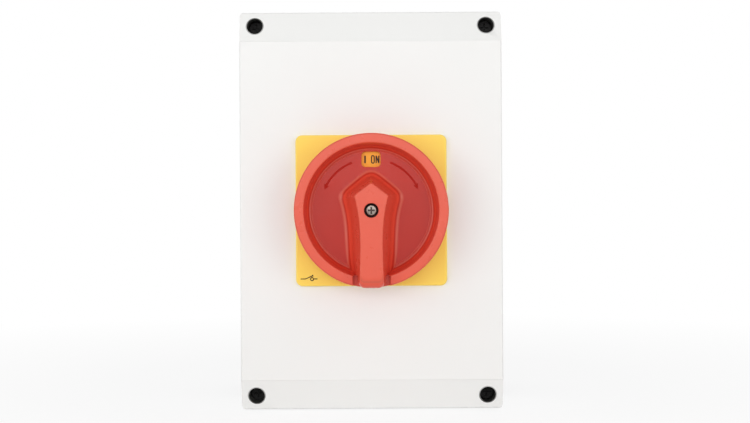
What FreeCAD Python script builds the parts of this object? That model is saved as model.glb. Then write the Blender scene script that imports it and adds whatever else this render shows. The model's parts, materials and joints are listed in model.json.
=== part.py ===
import FreeCAD, Part
import math
import os

Vector = FreeCAD.Vector

# ---------------------------------------------------------------------------
# Rotary isolator switch in a wall enclosure, millimetres.
#
# Everything is drawn in a plan frame: x to the right, y up the wall and z out
# of the wall, with the origin on the wall behind the knob's axis. save() turns
# each piece so that z up the wall is +Z and out of the wall is -Y.
# The knob stands at ON; it turns anticlockwise, seen from the front, to OFF.
# ---------------------------------------------------------------------------

# Enclosure
WIDTH = 160.0
HEIGHT = 240.0
DEPTH = 125.0                # wall to the cover's front face
BASE_DEPTH = 62.0            # wall to the joint between base and cover
WALL = 3.0
CORNER = 4.0                 # corner radius at the joint
FRONT_CORNER = 2.0           # corner radius at the cover's front
SIDE_TAPER = 1.5             # the cover narrows by this on each long side
END_TAPER = 0.3              # and by this at the top and the bottom
BAND = 18.5                  # height of the sloping band at top and bottom
BAND_STEP = 1.0              # drop from the front face to the band
BAND_FALL = 6.5              # further drop along the band
FRONT_EDGE = 1.2             # rounding of the cover's outer front edges
STEP_EDGE = 0.4              # rounding of the small step beside each band
BACK_EDGE = 1.0              # rounding of the base's edges at the wall

# Joint between base and cover
RIM = 7.0                    # width of the thickened rim
BASE_RIM_DEPTH = 8.0
COVER_RIM_DEPTH = 4.0
GROOVE_INSET = 2.0           # outside face to the gasket groove
GROOVE_WIDTH = 3.0
GROOVE_DEPTH = 4.0
TONGUE_WIDTH = 2.0
TONGUE_REACH = 1.5           # how far the cover's tongue enters the groove
GASKET_PLAY = 0.1

# Cover screws, in wells in the corners of the sloping bands
COVER_SCREW_EDGE_X = 10.5    # screw axis to the long side
COVER_SCREW_EDGE_Y = 9.0     # screw axis to the top or bottom
WELL_RADIUS = 4.8
WELL_WALL = 2.7
WELL_SEAT = 21.0             # front face down to the screw's seat
COVER_SCREW_RADIUS = 2.4
COVER_SCREW_HEAD = 4.3
COVER_SCREW_HEAD_HEIGHT = 3.5
COVER_SCREW_GRIP = 16.0      # length of thread in the base
SCREW_SEAL_THICK = 1.0
BOSS_RADIUS = 7.0
SCREW_PLAY = 0.1             # on the radius of every screw hole

# Wall fixing and cable entries
WALL_HOLE_X = 60.0
WALL_HOLE_Y = 100.0
WALL_HOLE_RADIUS = 2.7
WALL_COLLAR_RADIUS = 6.0
WALL_COLLAR_HEIGHT = 3.0
ENTRY_LEVEL = 30.0           # wall to the axis of every knockout
ENTRY_SPREAD = 42.0          # outer knockouts to the middle one
LARGE_ENTRY_RADII = (20.25, 16.25)
SMALL_ENTRY_RADII = (10.25,)
KNOCKOUT_GROOVE = 1.0        # width of a knockout's thin ring
KNOCKOUT_SKIN = 1.6          # what is left of the wall under the ring

# Locking plate with the drum under the knob
PLATE_SIDE = 90.0
PLATE_THICK = 3.5
PLATE_CORNER = 4.0
PLATE_EDGE = 1.0
DRUM_RADIUS = 36.8
DRUM_HEIGHT = 12.0           # cover's front face to the drum's face
DRUM_WALL = 2.5
SPIGOT_RADIUS = 16.5
SPIGOT_REACH = 6.0           # how far the spigot passes the cover's front face
SPIGOT_PLAY = 0.2
SPIGOT_WALL = 2.0            # wall of the spigot round the bearing bush
BUSH_FLANGE_RADIUS = 18.0    # collar that keeps the bush in the drum's face
BUSH_FLANGE_THICK = 1.5
BUSH_FIT = 0.05
SEAL_SEAT_RADIUS = 22.5
PLATE_SEAL_OUTER = 20.0
PLATE_SEAL_INNER = 17.5
PLATE_SEAL_THICK = 1.5
PLATE_SCREW_SPREAD = 19.0    # each way from the axis
PLATE_SCREW_RADIUS = 1.7
PLATE_SCREW_HEAD = 3.4
PLATE_SCREW_HEAD_HEIGHT = 2.4
PLATE_SCREW_REACH = 8.0
PLATE_BOSS_RADIUS = 4.0

# Knob
KNOB_RADIUS = 44.8
KNOB_HEIGHT = 27.0           # cover's front face to the rim
KNOB_GAP = 0.8               # locking plate to the knob's skirt
KNOB_WALL = 2.2
RIM_WIDTH = 5.8
RIM_EDGE = 1.0
DISH_DEPTH = 12.0            # rim down to the dish floor
DISH_RADIUS = 37.6           # radius of the floor
FLOOR_THICK = 2.5
RIM_THICK = 2.4
GRIP_HEIGHT = 11.0           # rim to the grip's top
GRIP_APEX = 16.9             # axis to the pointer's tip, on the grip's top
GRIP_SHOULDER_X = 9.95
GRIP_SHOULDER_Y = 8.5
GRIP_WAIST_X = 6.8
GRIP_WAIST_Y = -20.0
GRIP_TAIL_X = 7.2
FOOT_APEX = 22.9             # the same outline at the dish floor
FOOT_SHOULDER_X = 18.3
FOOT_SHOULDER_Y = 8.0
FOOT_WAIST_X = 14.0
FOOT_TAIL_X = 10.0
FOOT_FLARE = 5.0             # height of the flared foot
FOOT_FLARE_SHARE = 0.5       # share of the spread that lies in the flare
GRIP_EDGE = 0.6
TAIL_ROUND = 6.0
NOTCH_HALF_WIDTH = 10.75
NOTCH_DEPTH = 6.0
WINDOW_RADIUS = 30.0         # axis to the middle of the ON/OFF window
WINDOW_WIDTH = 11.8
WINDOW_HEIGHT = 9.6
WINDOW_CORNER = 2.4

# Knob fixing and drive
JOURNAL_RADIUS = 11.0
RUNNING_FIT = 0.05
FLANGE_RADIUS = 14.0
FLANGE_THICK = 3.0
END_PLAY = 0.1
NECK_SIDE = 12.0
NECK_REACH = 13.0            # length of the square neck in the knob
NECK_PLAY = 0.15
SHAFT_SEAL_LEVEL = 2.0       # cover's front face to the seal's middle
SHAFT_SEAL_WIRE = 1.0
KNOB_SCREW_RADIUS = 1.5
KNOB_SCREW_HEAD = 2.9
KNOB_SCREW_HEAD_HEIGHT = 2.4
KNOB_SCREW_REACH = 17.0
KNOB_SCREW_WELL = 4.15
KNOB_SCREW_SEAT = 7.0        # grip's top down to the washer's seat
WASHER_RADIUS = 4.0
WASHER_THICK = 1.0
SHAFT_SIDE = 7.0
SHAFT_PLAY = 0.05
SOCKET_DEPTH = 20.0          # of the driver's square socket
SHAFT_END_PLAY = 2.0
COUPLING_RADIUS = 9.0
COUPLING_LENGTH = 20.0
COUPLING_GAP = 2.0
GRUB_RADIUS = 1.5

# Padlock slide in the grip's tail
SLIDE_THICK = 5.0
SLIDE_FOOT = 0.6             # drum's face to the slide
SLIDE_HEIGHT = 12.4
SLIDE_START = 13.0           # axis to the slide's inner end
SLIDE_PLAY = 0.3
SLIDE_TRAVEL = 18.5
SLIDE_LUG_WIDTH = 7.2
SLIDE_LUG_LENGTH = 4.5
SLIDE_LUG_HEIGHT = 1.5
SHACKLE_SLOT_LENGTH = 13.0
SHACKLE_SLOT_HEIGHT = 7.0
SHACKLE_SLOT_START = 26.8    # axis to the slot

# Switch block
BLOCK_SIDE = 84.0
BLOCK_CORNER = 3.0
POST_RADIUS = 5.0
POST_HEIGHT = 9.0
POST_X = 48.5
POST_Y = 30.0
CARRIER_WIDTH = 108.0
CARRIER_THICK = 2.0
MOUNTING_SCREW_RADIUS = 1.5
MOUNTING_SCREW_HEAD = 3.2
REAR_HOUSING_THICK = 4.0
DECK_THICK = 16.0
DECK_FLOOR = 2.0
LATCH_THICK = 12.0
LATCH_COVER_THICK = 2.0
TIE_SPREAD = 37.5
TIE_RADIUS = 2.0
TIE_HEAD = 3.6
TIE_HEAD_HEIGHT = 2.6
TIE_PLAY = 0.3
NUT_WIDTH = 7.0              # across flats
NUT_HEIGHT = 2.8
TIE_TAIL = 0.4               # how far a tie bolt passes its nut

# Cam shaft and cams
CAM_SHAFT_SIDE = 9.5
REAR_JOURNAL = 5.4
REAR_JOURNAL_LENGTH = 3.0
FRONT_JOURNAL = 6.9
JOURNAL_PLAY = 0.1
SHAFT_HOLE = 7.2             # clearance hole in each housing floor
CAM_THICK = 8.0
CAM_LOW = 10.5
CAM_LIFT = 5.0
CAM_HUB = 8.0
CAM_ROOM = 0.7               # cam tip to the chamber wall
CAM_DWELL = 25.0             # degrees at the low radius after the ON point
CAM_RISE = 50.0              # degrees from low to high
QUARTER = 90.0               # the knob's travel in degrees

# Latch
STAR_RADIUS = 15.5
STAR_THICK = 4.6
FLUTE_DEPTH = 0.7
ROLLER_RADIUS = 3.0
ROLLER_GAP = 0.2
ROLLER_LENGTH = 4.0
PUSHER_LENGTH = 6.1
PUSHER_HALF_WIDTH = 4.0
LATCH_SPRING_RADIUS = 2.6
STOP_RADIUS = 12.0
STOP_REACH = 19.0
STOP_THICK = 2.8
STOP_HALF_ANGLE = 15.0
STOP_GAP_ANGLE = 1.5
STOP_POST_ANGLE = 13.5

# Poles
CHAMBER_WALL = 3.0           # outer wall of a deck behind the springs
NOSE_RADIUS = 2.0
NOSE_GAP = 0.2
PLUNGER_HALF_WIDTH = 3.0
PLUNGER_PLAY = 0.3
CONTACT_FACE = 23.0          # axis plane to the faces where contacts meet
FIXED_TIP_THICK = 2.0
MOVING_TIP_THICK = 1.0
TIP_START = 9.5
TIP_LENGTH = 5.0
STRIP_THICK = 1.2
STRIP_WIDTH = 6.0
STRIP_START = 8.0
BRIDGE_HALF_LENGTH = 16.0
BRIDGE_THICK = 1.2
BRIDGE_WIDTH = 7.0
PLUNGER_BACK = 1.3           # plunger behind the bridge
SPRING_RADIUS = 3.0
SPRING_WIRE = 0.45
SPRING_TURNS = 5.0
SPRING_STUB = 2.2
SPRING_STUB_LENGTH = 3.0
TERMINAL_LENGTH = 9.0
TERMINAL_STEP = 10.0         # rear terminals stand out further than front ones
TERMINAL_SHELF = 0.5
BARRIER = 1.8                # walls between terminals
TERMINAL_GAP = 4.4           # room for a wire under the clamp
TERMINAL_SCREW_RADIUS = 2.0
TERMINAL_SCREW_HEAD = 3.2
TERMINAL_SCREW_HEAD_HEIGHT = 2.4

# Earth and neutral terminals
LINK_X = 38.0
LINK_RISE = 32.0             # bottom of the enclosure to the terminals
LINK_LENGTH = 26.0
LINK_WIDTH = 10.0
LINK_HEIGHT = 10.0
LINK_FOOT_HEIGHT = 9.0
LINK_FOOT_MARGIN = 2.0
LINK_LIP = 4.0               # foot's end lips, above the block's underside
LINK_PITCH = 13.0
LINK_BORE = 2.4
LINK_SCREW_RADIUS = 2.0
LINK_SCREW_HEIGHT = 6.0

# ---------------------------------------------------------------------------
# Levels and places that follow from the sizes above
# ---------------------------------------------------------------------------
COVER_INSIDE = DEPTH - WALL
COVER_SCREW_X = WIDTH / 2 - COVER_SCREW_EDGE_X
COVER_SCREW_Y = HEIGHT / 2 - COVER_SCREW_EDGE_Y
SEAT_LEVEL = DEPTH - WELL_SEAT
PLATE_FACE = DEPTH + PLATE_THICK
DRUM_FACE = DEPTH + DRUM_HEIGHT
SPIGOT_END = DEPTH - SPIGOT_REACH
BUSH_RADIUS = SPIGOT_RADIUS - SPIGOT_WALL

RIM_LEVEL = DEPTH + KNOB_HEIGHT
SKIRT_LEVEL = PLATE_FACE + KNOB_GAP
DISH_LEVEL = RIM_LEVEL - DISH_DEPTH
KNOB_UNDERSIDE = DISH_LEVEL - FLOOR_THICK
GRIP_LEVEL = RIM_LEVEL + GRIP_HEIGHT
TAIL_END = KNOB_RADIUS - 0.3
WASHER_LEVEL = GRIP_LEVEL - KNOB_SCREW_SEAT
NECK_LEVEL = DRUM_FACE + NECK_REACH
SLIDE_LEVEL = DRUM_FACE + SLIDE_FOOT
SLIDE_TOP = SLIDE_LEVEL + SLIDE_HEIGHT

CARRIER_LEVEL = WALL + POST_HEIGHT
REAR_LEVEL = CARRIER_LEVEL + CARRIER_THICK
REAR_DECK_LEVEL = REAR_LEVEL + REAR_HOUSING_THICK
FRONT_DECK_LEVEL = REAR_DECK_LEVEL + DECK_THICK
LATCH_LEVEL = FRONT_DECK_LEVEL + DECK_THICK
LATCH_COVER_LEVEL = LATCH_LEVEL + LATCH_THICK
BLOCK_TOP = LATCH_COVER_LEVEL + LATCH_COVER_THICK
HALF_BLOCK = BLOCK_SIDE / 2
COUPLING_LEVEL = BLOCK_TOP + COUPLING_GAP
SHAFT_JOINT = COUPLING_LEVEL + COUPLING_LENGTH / 2
DRIVER_END = SPIGOT_END - END_PLAY - FLANGE_THICK
SHAFT_TOP = DRIVER_END + SOCKET_DEPTH - SHAFT_END_PLAY

CAM_HIGH = CAM_LOW + CAM_LIFT
CAM_CHAMBER = CAM_HIGH + CAM_ROOM
CHAMBER_END = HALF_BLOCK - CHAMBER_WALL
NOSE_CENTRE = CAM_LOW + NOSE_GAP + NOSE_RADIUS
BRIDGE_FACE = CONTACT_FACE + MOVING_TIP_THICK
BRIDGE_BACK = BRIDGE_FACE + BRIDGE_THICK
PLUNGER_END = BRIDGE_BACK + PLUNGER_BACK
STRIP_FACE = CONTACT_FACE - FIXED_TIP_THICK
STRIP_BACK = STRIP_FACE - STRIP_THICK
FRONT_REACH = HALF_BLOCK + 1 + TERMINAL_LENGTH
REAR_REACH = FRONT_REACH + TERMINAL_STEP
ROLLER_CENTRE = STAR_RADIUS + ROLLER_GAP + ROLLER_RADIUS

SIDES = (-1, 1)
CORNERS = [(x, y) for x in SIDES for y in SIDES]
# Each pole: number, side of the axis, deck level, reach of its terminals.
POLES = (
    (1, -1, FRONT_DECK_LEVEL, FRONT_REACH),
    (2, 1, FRONT_DECK_LEVEL, FRONT_REACH),
    (3, -1, REAR_DECK_LEVEL, REAR_REACH),
)


# ---------------------------------------------------------------------------
# Shapes in the plan frame
# ---------------------------------------------------------------------------
def slab(x0, x1, y0, y1, z0, z1):
    """Box between two corners, given in either order."""
    low = Vector(min(x0, x1), min(y0, y1), min(z0, z1))
    return Part.makeBox(abs(x1 - x0), abs(y1 - y0), abs(z1 - z0), low)


def disc(radius, z0, z1, x=0.0, y=0.0):
    """Cylinder standing out of the wall."""
    return Part.makeCylinder(radius, z1 - z0, Vector(x, y, z0))


def ring(outer, inner, z0, z1, x=0.0, y=0.0):
    """Flat ring or tube standing out of the wall."""
    return disc(outer, z0, z1, x, y).cut(disc(inner, z0, z1, x, y))


def rod_x(radius, x0, x1, y, z):
    """Cylinder along x."""
    return Part.makeCylinder(radius, abs(x1 - x0), Vector(min(x0, x1), y, z), Vector(1, 0, 0))


def rod_y(radius, y0, y1, x, z):
    """Cylinder along y."""
    return Part.makeCylinder(radius, abs(y1 - y0), Vector(x, min(y0, y1), z), Vector(0, 1, 0))


def square(side, z0, z1):
    """Square bar on the axis."""
    return slab(-side / 2, side / 2, -side / 2, side / 2, z0, z1)


def rounded_outline(width, height, radius, z):
    """Closed rectangle with round corners, centred on the axis."""
    a = width / 2
    b = height / 2
    diagonal = radius * (1 - math.sqrt(0.5))
    edges = []
    for sx, sy in ((1, 1), (-1, 1), (-1, -1), (1, -1)):
        beside = Vector(sx * a, sy * (b - radius), z)
        middle = Vector(sx * (a - diagonal), sy * (b - diagonal), z)
        above = Vector(sx * (a - radius), sy * b, z)
        start, end = (beside, above) if sx == sy else (above, beside)
        if edges:
            edges.append(Part.LineSegment(edges[-1].Vertexes[-1].Point, start).toShape())
        edges.append(Part.Arc(start, middle, end).toShape())
    edges.append(Part.LineSegment(edges[-1].Vertexes[-1].Point, Vector(a, b - radius, z)).toShape())
    return Part.Wire(edges)


def rounded_slab(width, height, radius, z0, z1):
    """Flat block with round corners, centred on the axis."""
    return Part.Face(rounded_outline(width, height, radius, z0)).extrude(Vector(0, 0, z1 - z0))


def frame(inset, thick, z0, z1):
    """Loop that follows the enclosure's outline, inset from it."""
    outer = rounded_slab(WIDTH - 2 * inset, HEIGHT - 2 * inset, max(CORNER - inset, 0.5), z0, z1)
    inner_inset = inset + thick
    inner = rounded_slab(WIDTH - 2 * inner_inset, HEIGHT - 2 * inner_inset,
                         max(CORNER - inner_inset, 0.5), z0, z1)
    return outer.cut(inner)


def both_halves(points):
    """A section's half, given as (across, level, rounding) points, with its mirror image."""
    return points + [(-across, level, rounding) for across, level, rounding in reversed(points)]


def rounded_polygon(corners):
    """Closed outline from (point, radius) pairs, round where the radius isn't 0."""
    count = len(corners)
    stretches = []
    for index, (point, radius) in enumerate(corners):
        if not radius:
            stretches.append((point, None, point))
            continue
        back = (corners[index - 1][0] - point).normalize()
        ahead = (corners[(index + 1) % count][0] - point).normalize()
        half_angle = back.getAngle(ahead) / 2
        run = radius / math.tan(half_angle)
        inward = (back + ahead).normalize()
        middle = point + inward * (radius / math.sin(half_angle) - radius)
        stretches.append((point + back * run, middle, point + ahead * run))
    edges = []
    for index, (start, middle, end) in enumerate(stretches):
        if middle is not None:
            edges.append(Part.Arc(start, middle, end).toShape())
        edges.append(Part.LineSegment(end, stretches[(index + 1) % count][0]).toShape())
    return Part.Wire(edges)


def turned(points):
    """Solid of revolution about the axis from (radius, z) points."""
    corners = [Vector(radius, 0, z) for radius, z in points]
    outline = Part.makePolygon(corners + corners[:1])
    return Part.Face(outline).revolve(Vector(0, 0, 0), Vector(0, 0, 1), 360)


def polar(radius, degrees, z):
    """Point at a radius and an angle from +x, turning towards +y."""
    angle = math.radians(degrees)
    return Vector(radius * math.cos(angle), radius * math.sin(angle), z)


def sector(inner, outer, start, end, z0, z1):
    """Piece of a ring between two angles in degrees."""
    middle = (start + end) / 2
    edges = [
        Part.Arc(polar(outer, start, z0), polar(outer, middle, z0), polar(outer, end, z0)).toShape(),
        Part.LineSegment(polar(outer, end, z0), polar(inner, end, z0)).toShape(),
        Part.Arc(polar(inner, end, z0), polar(inner, middle, z0), polar(inner, start, z0)).toShape(),
        Part.LineSegment(polar(inner, start, z0), polar(outer, start, z0)).toShape(),
    ]
    return Part.Face(Part.Wire(edges)).extrude(Vector(0, 0, z1 - z0))


def at_corners(make, dx, dy):
    """Call make(x, y) for the four corners of a rectangle."""
    return [make(sx * dx, sy * dy) for sx, sy in CORNERS]


def corner_discs(radius, z0, z1, dx, dy):
    """Four equal cylinders on the corners of a rectangle."""
    return at_corners(lambda x, y: disc(radius, z0, z1, x, y), dx, dy)


def cross_recess(reach, depth, top, x=0.0, y=0.0):
    """Cutter for a cross-head drive, sunk from the top."""
    half = reach / 5
    bars = slab(-reach, reach, -half, half, top - depth, top)
    bars = bars.fuse(slab(-half, half, -reach, reach, top - depth, top))
    bars.translate(Vector(x, y, 0))
    return bars


def screw(radius, head, head_height, tip, seat, x=0.0, y=0.0):
    """Cross-head screw pointing to the wall; seat is under its head."""
    top = seat + head_height
    body = disc(radius, tip, seat, x, y).fuse(disc(head, seat, top, x, y))
    return body.cut(cross_recess(0.6 * head, 0.6 * head_height, top, x, y))


def coil_x(radius, wire, turns, x0, x1, z):
    """Coil spring lying along x between two flat faces."""
    length = abs(x1 - x0) - 2 * wire
    path = Part.makeHelix(length / turns, length, radius)
    profile = Part.Wire(Part.makeCircle(wire, Vector(radius, 0, 0), Vector(0, 1, 0)))
    coil = Part.Wire(path).makePipeShell([profile], True, True)
    coil.rotate(Vector(0, 0, 0), Vector(0, 1, 0), 90)
    coil.translate(Vector(min(x0, x1) + wire, 0, z))
    return coil


def joined(shapes):
    """One clean solid from overlapping or touching shapes."""
    return shapes[0].fuse(shapes[1:]).removeSplitter()


def save(name, shape):
    """Turn a piece, or a list of loose pieces, to its place on the wall and export it."""
    piece = Part.makeCompound(shape) if isinstance(shape, list) else shape.copy()
    piece.rotate(Vector(0, 0, 0), Vector(1, 0, 0), 90)
    piece.exportStep("parts/%s.step" % name)


# ---------------------------------------------------------------------------
# Enclosure
# ---------------------------------------------------------------------------
def knockout(radius, x, end):
    """Thin ring cut into the top (end 1) or bottom (end -1) wall."""
    face = end * HEIGHT / 2
    floor = end * (HEIGHT / 2 - WALL + KNOCKOUT_SKIN)
    outer = rod_y(radius, floor, face, x, ENTRY_LEVEL)
    return outer.cut(rod_y(radius - KNOCKOUT_GROOVE, floor, face, x, ENTRY_LEVEL))


def base_shell():
    """Tub that goes on the wall, with rim, bosses, posts and knockouts."""
    shell = rounded_slab(WIDTH, HEIGHT, CORNER, 0, BASE_DEPTH)
    shell = shell.makeFillet(BACK_EDGE, [edge for edge in shell.Edges if edge.BoundBox.ZMax < 0.01])
    shell = shell.cut(rounded_slab(WIDTH - 2 * WALL, HEIGHT - 2 * WALL, CORNER - WALL / 2, WALL, BASE_DEPTH))
    additions = [shell, frame(0, RIM, BASE_DEPTH - BASE_RIM_DEPTH, BASE_DEPTH)]
    additions += corner_discs(BOSS_RADIUS, WALL, BASE_DEPTH, COVER_SCREW_X, COVER_SCREW_Y)
    additions += corner_discs(POST_RADIUS, WALL, CARRIER_LEVEL, POST_X, POST_Y)
    collar_top = WALL + WALL_COLLAR_HEIGHT
    additions += corner_discs(WALL_COLLAR_RADIUS, WALL, collar_top, WALL_HOLE_X, WALL_HOLE_Y)
    shell = joined(additions).common(rounded_slab(WIDTH, HEIGHT, CORNER, 0, BASE_DEPTH))

    thread_end = BASE_DEPTH - COVER_SCREW_GRIP - 2
    cover_hole = COVER_SCREW_RADIUS + SCREW_PLAY
    post_hole = MOUNTING_SCREW_RADIUS + SCREW_PLAY
    cuts = [frame(GROOVE_INSET, GROOVE_WIDTH, BASE_DEPTH - GROOVE_DEPTH, BASE_DEPTH)]
    cuts += corner_discs(cover_hole, thread_end, BASE_DEPTH, COVER_SCREW_X, COVER_SCREW_Y)
    cuts += corner_discs(post_hole, WALL + 1, CARRIER_LEVEL, POST_X, POST_Y)
    cuts += corner_discs(WALL_HOLE_RADIUS, 0, collar_top, WALL_HOLE_X, WALL_HOLE_Y)
    for end in SIDES:
        for side in SIDES:
            cuts += [knockout(radius, side * ENTRY_SPREAD, end) for radius in LARGE_ENTRY_RADII]
        cuts += [knockout(radius, 0, end) for radius in SMALL_ENTRY_RADII]
    return shell.cut(cuts)


def side_profile(inset, edge):
    """Half of the cover's section across its width, as (x, z, rounding) points."""
    return [
        (WIDTH / 2 - inset, BASE_DEPTH, 0),
        (WIDTH / 2 - SIDE_TAPER - inset, DEPTH - inset, edge),
    ]


def band_profile(inset, edge):
    """Half of the cover's section along its height, as (y, z, rounding) points."""
    end_level = DEPTH - BAND_STEP - BAND_FALL
    taper = END_TAPER * (end_level - BASE_DEPTH) / (DEPTH - BASE_DEPTH)
    flat = HEIGHT / 2 - BAND - inset
    step = STEP_EDGE if edge else 0
    return [
        (HEIGHT / 2 - inset, BASE_DEPTH, 0),
        (HEIGHT / 2 - taper - inset, end_level - inset, edge),
        (flat, DEPTH - BAND_STEP - inset, step),
        (flat, DEPTH - inset, step),
    ]


def cover_block(inset, edge=0.0):
    """The cover's outer body, or its hollow when inset is the wall."""
    lower = rounded_outline(WIDTH - 2 * inset, HEIGHT - 2 * inset, max(CORNER - inset, 1), BASE_DEPTH)
    upper = rounded_outline(WIDTH - 2 * (SIDE_TAPER + inset), HEIGHT - 2 * (END_TAPER + inset),
                            max(FRONT_CORNER - inset, 1), DEPTH)
    block = Part.makeLoft([lower, upper], True, True)
    half_width = WIDTH / 2 + 1
    half_height = HEIGHT / 2 + 1
    sides = both_halves(side_profile(inset, edge))
    bands = both_halves(band_profile(inset, edge))
    across = [(Vector(x, -half_height, z), rounding) for x, z, rounding in sides]
    along = [(Vector(-half_width, y, z), rounding) for y, z, rounding in bands]
    across_prism = Part.Face(rounded_polygon(across)).extrude(Vector(0, 2 * half_height, 0))
    along_prism = Part.Face(rounded_polygon(along)).extrude(Vector(2 * half_width, 0, 0))
    return block.common(across_prism).common(along_prism)


def cover_shell():
    """Deep cover with sloping bands, screw wells and the drum's holes."""
    rounded = cover_block(0, FRONT_EDGE)
    additions = [rounded.cut(cover_block(WALL))]
    additions.append(frame(0, RIM, BASE_DEPTH, BASE_DEPTH + COVER_RIM_DEPTH).common(rounded))
    tube = WELL_RADIUS + WELL_WALL
    for well in corner_discs(tube, BASE_DEPTH, DEPTH, COVER_SCREW_X, COVER_SCREW_Y):
        additions.append(well.common(rounded))
    tongue_inset = GROOVE_INSET + (GROOVE_WIDTH - TONGUE_WIDTH) / 2
    additions.append(frame(tongue_inset, TONGUE_WIDTH, BASE_DEPTH - TONGUE_REACH, BASE_DEPTH))
    shell = joined(additions)

    bore = COVER_SCREW_RADIUS + SCREW_PLAY
    plate_hole = PLATE_SCREW_RADIUS + 5 * SCREW_PLAY
    cuts = [disc(SPIGOT_RADIUS + SPIGOT_PLAY, COVER_INSIDE, DEPTH)]
    cuts += corner_discs(WELL_RADIUS, SEAT_LEVEL, DEPTH, COVER_SCREW_X, COVER_SCREW_Y)
    cuts += corner_discs(bore, BASE_DEPTH, SEAT_LEVEL, COVER_SCREW_X, COVER_SCREW_Y)
    cuts += corner_discs(plate_hole, COVER_INSIDE, DEPTH, PLATE_SCREW_SPREAD, PLATE_SCREW_SPREAD)
    return shell.cut(cuts)


def cover_gasket():
    """Foam cord in the base's groove, under the cover's tongue."""
    return frame(GROOVE_INSET + GASKET_PLAY, GROOVE_WIDTH - 2 * GASKET_PLAY,
                 BASE_DEPTH - GROOVE_DEPTH, BASE_DEPTH - TONGUE_REACH)


def cover_screw(x, y):
    """Captive cover screw, on its seal at the bottom of its well."""
    seat = SEAT_LEVEL + SCREW_SEAL_THICK
    return screw(COVER_SCREW_RADIUS, COVER_SCREW_HEAD, COVER_SCREW_HEAD_HEIGHT,
                 BASE_DEPTH - COVER_SCREW_GRIP, seat, x, y)


def cover_screw_seal(x, y):
    """Rubber washer under a cover screw."""
    return ring(COVER_SCREW_HEAD + SCREW_PLAY, COVER_SCREW_RADIUS + SCREW_PLAY / 2,
                SEAT_LEVEL, SEAT_LEVEL + SCREW_SEAL_THICK, x, y)


def build_enclosure():
    """Base, cover and what holds and seals them."""
    save("base_shell", base_shell())
    save("cover_shell", cover_shell())
    save("cover_gasket", cover_gasket())
    save("cover_screws", at_corners(cover_screw, COVER_SCREW_X, COVER_SCREW_Y))
    save("cover_screw_seals", at_corners(cover_screw_seal, COVER_SCREW_X, COVER_SCREW_Y))


# ---------------------------------------------------------------------------
# Locking plate
# ---------------------------------------------------------------------------
def locking_plate():
    """Square plate with the hollow drum, the spigot and four screw bosses."""
    plate = rounded_slab(PLATE_SIDE, PLATE_SIDE, PLATE_CORNER, DEPTH, PLATE_FACE)
    front = [edge for edge in plate.Edges if abs(edge.BoundBox.ZMin - PLATE_FACE) < 0.01]
    plate = plate.makeFillet(PLATE_EDGE, front)
    ceiling = DRUM_FACE - DRUM_WALL
    drum_inside = DRUM_RADIUS - DRUM_WALL
    body = joined([plate, disc(DRUM_RADIUS, DEPTH, DRUM_FACE), disc(SPIGOT_RADIUS, SPIGOT_END, DEPTH)])
    body = body.cut([
        ring(drum_inside, SEAL_SEAT_RADIUS, DEPTH, PLATE_FACE),
        ring(drum_inside, SPIGOT_RADIUS, PLATE_FACE, ceiling),
    ])
    bosses = corner_discs(PLATE_BOSS_RADIUS, DEPTH, ceiling, PLATE_SCREW_SPREAD, PLATE_SCREW_SPREAD)
    body = joined([body] + bosses)
    hole = PLATE_SCREW_RADIUS + SCREW_PLAY / 2
    cuts = [
        disc(BUSH_RADIUS + BUSH_FIT, SPIGOT_END, DRUM_FACE),
        disc(BUSH_FLANGE_RADIUS + BUSH_FIT, DRUM_FACE - BUSH_FLANGE_THICK, DRUM_FACE),
        ring(PLATE_SEAL_OUTER, PLATE_SEAL_INNER, DEPTH, DEPTH + PLATE_SEAL_THICK),
    ]
    cuts += corner_discs(hole, DEPTH, DEPTH + PLATE_SCREW_REACH + 0.5, PLATE_SCREW_SPREAD, PLATE_SCREW_SPREAD)
    return body.cut(cuts)


def bearing_bush():
    """Bush in the plate's spigot, in which the driver's journal turns."""
    body = joined([
        disc(BUSH_RADIUS, SPIGOT_END, DRUM_FACE),
        disc(BUSH_FLANGE_RADIUS, DRUM_FACE - BUSH_FLANGE_THICK, DRUM_FACE),
    ])
    return body.cut(disc(JOURNAL_RADIUS + RUNNING_FIT, SPIGOT_END, DRUM_FACE))


def plate_screw(x, y):
    """Screw from inside the cover, pointing out of the wall into the locking plate."""
    length = WALL + PLATE_SCREW_REACH
    piece = screw(PLATE_SCREW_RADIUS, PLATE_SCREW_HEAD, PLATE_SCREW_HEAD_HEIGHT, 0, length)
    piece.rotate(Vector(0, 0, 0), Vector(1, 0, 0), 180)
    piece.translate(Vector(x, y, COVER_INSIDE + length))
    return piece


def build_front_plate():
    """Locking plate with its seal and screws."""
    save("locking_plate", locking_plate())
    save("bearing_bush", bearing_bush())
    save("plate_seal", ring(PLATE_SEAL_OUTER - GASKET_PLAY, PLATE_SEAL_INNER + GASKET_PLAY,
                            DEPTH, DEPTH + PLATE_SEAL_THICK))
    save("plate_screws", at_corners(plate_screw, PLATE_SCREW_SPREAD, PLATE_SCREW_SPREAD))


# ---------------------------------------------------------------------------
# Knob
# ---------------------------------------------------------------------------
def knob_cup():
    """Rim, skirt and dish floor as one turned body."""
    underside_radius = DISH_RADIUS + RIM_THICK
    rim_inner = KNOB_RADIUS - RIM_WIDTH
    skirt_inner = KNOB_RADIUS - KNOB_WALL
    cup = turned([
        (0, KNOB_UNDERSIDE),
        (underside_radius, KNOB_UNDERSIDE),
        (min(rim_inner + RIM_THICK - 0.6, skirt_inner - 1), RIM_LEVEL - RIM_THICK),
        (skirt_inner, RIM_LEVEL - RIM_THICK),
        (skirt_inner, SKIRT_LEVEL),
        (KNOB_RADIUS, SKIRT_LEVEL),
        (KNOB_RADIUS, RIM_LEVEL),
        (rim_inner, RIM_LEVEL),
        (DISH_RADIUS, DISH_LEVEL),
        (0, DISH_LEVEL),
    ])
    rim_edges = [edge for edge in cup.Edges if abs(edge.BoundBox.ZMin - RIM_LEVEL) < 0.01]
    return cup.makeFillet(RIM_EDGE, rim_edges)


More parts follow.
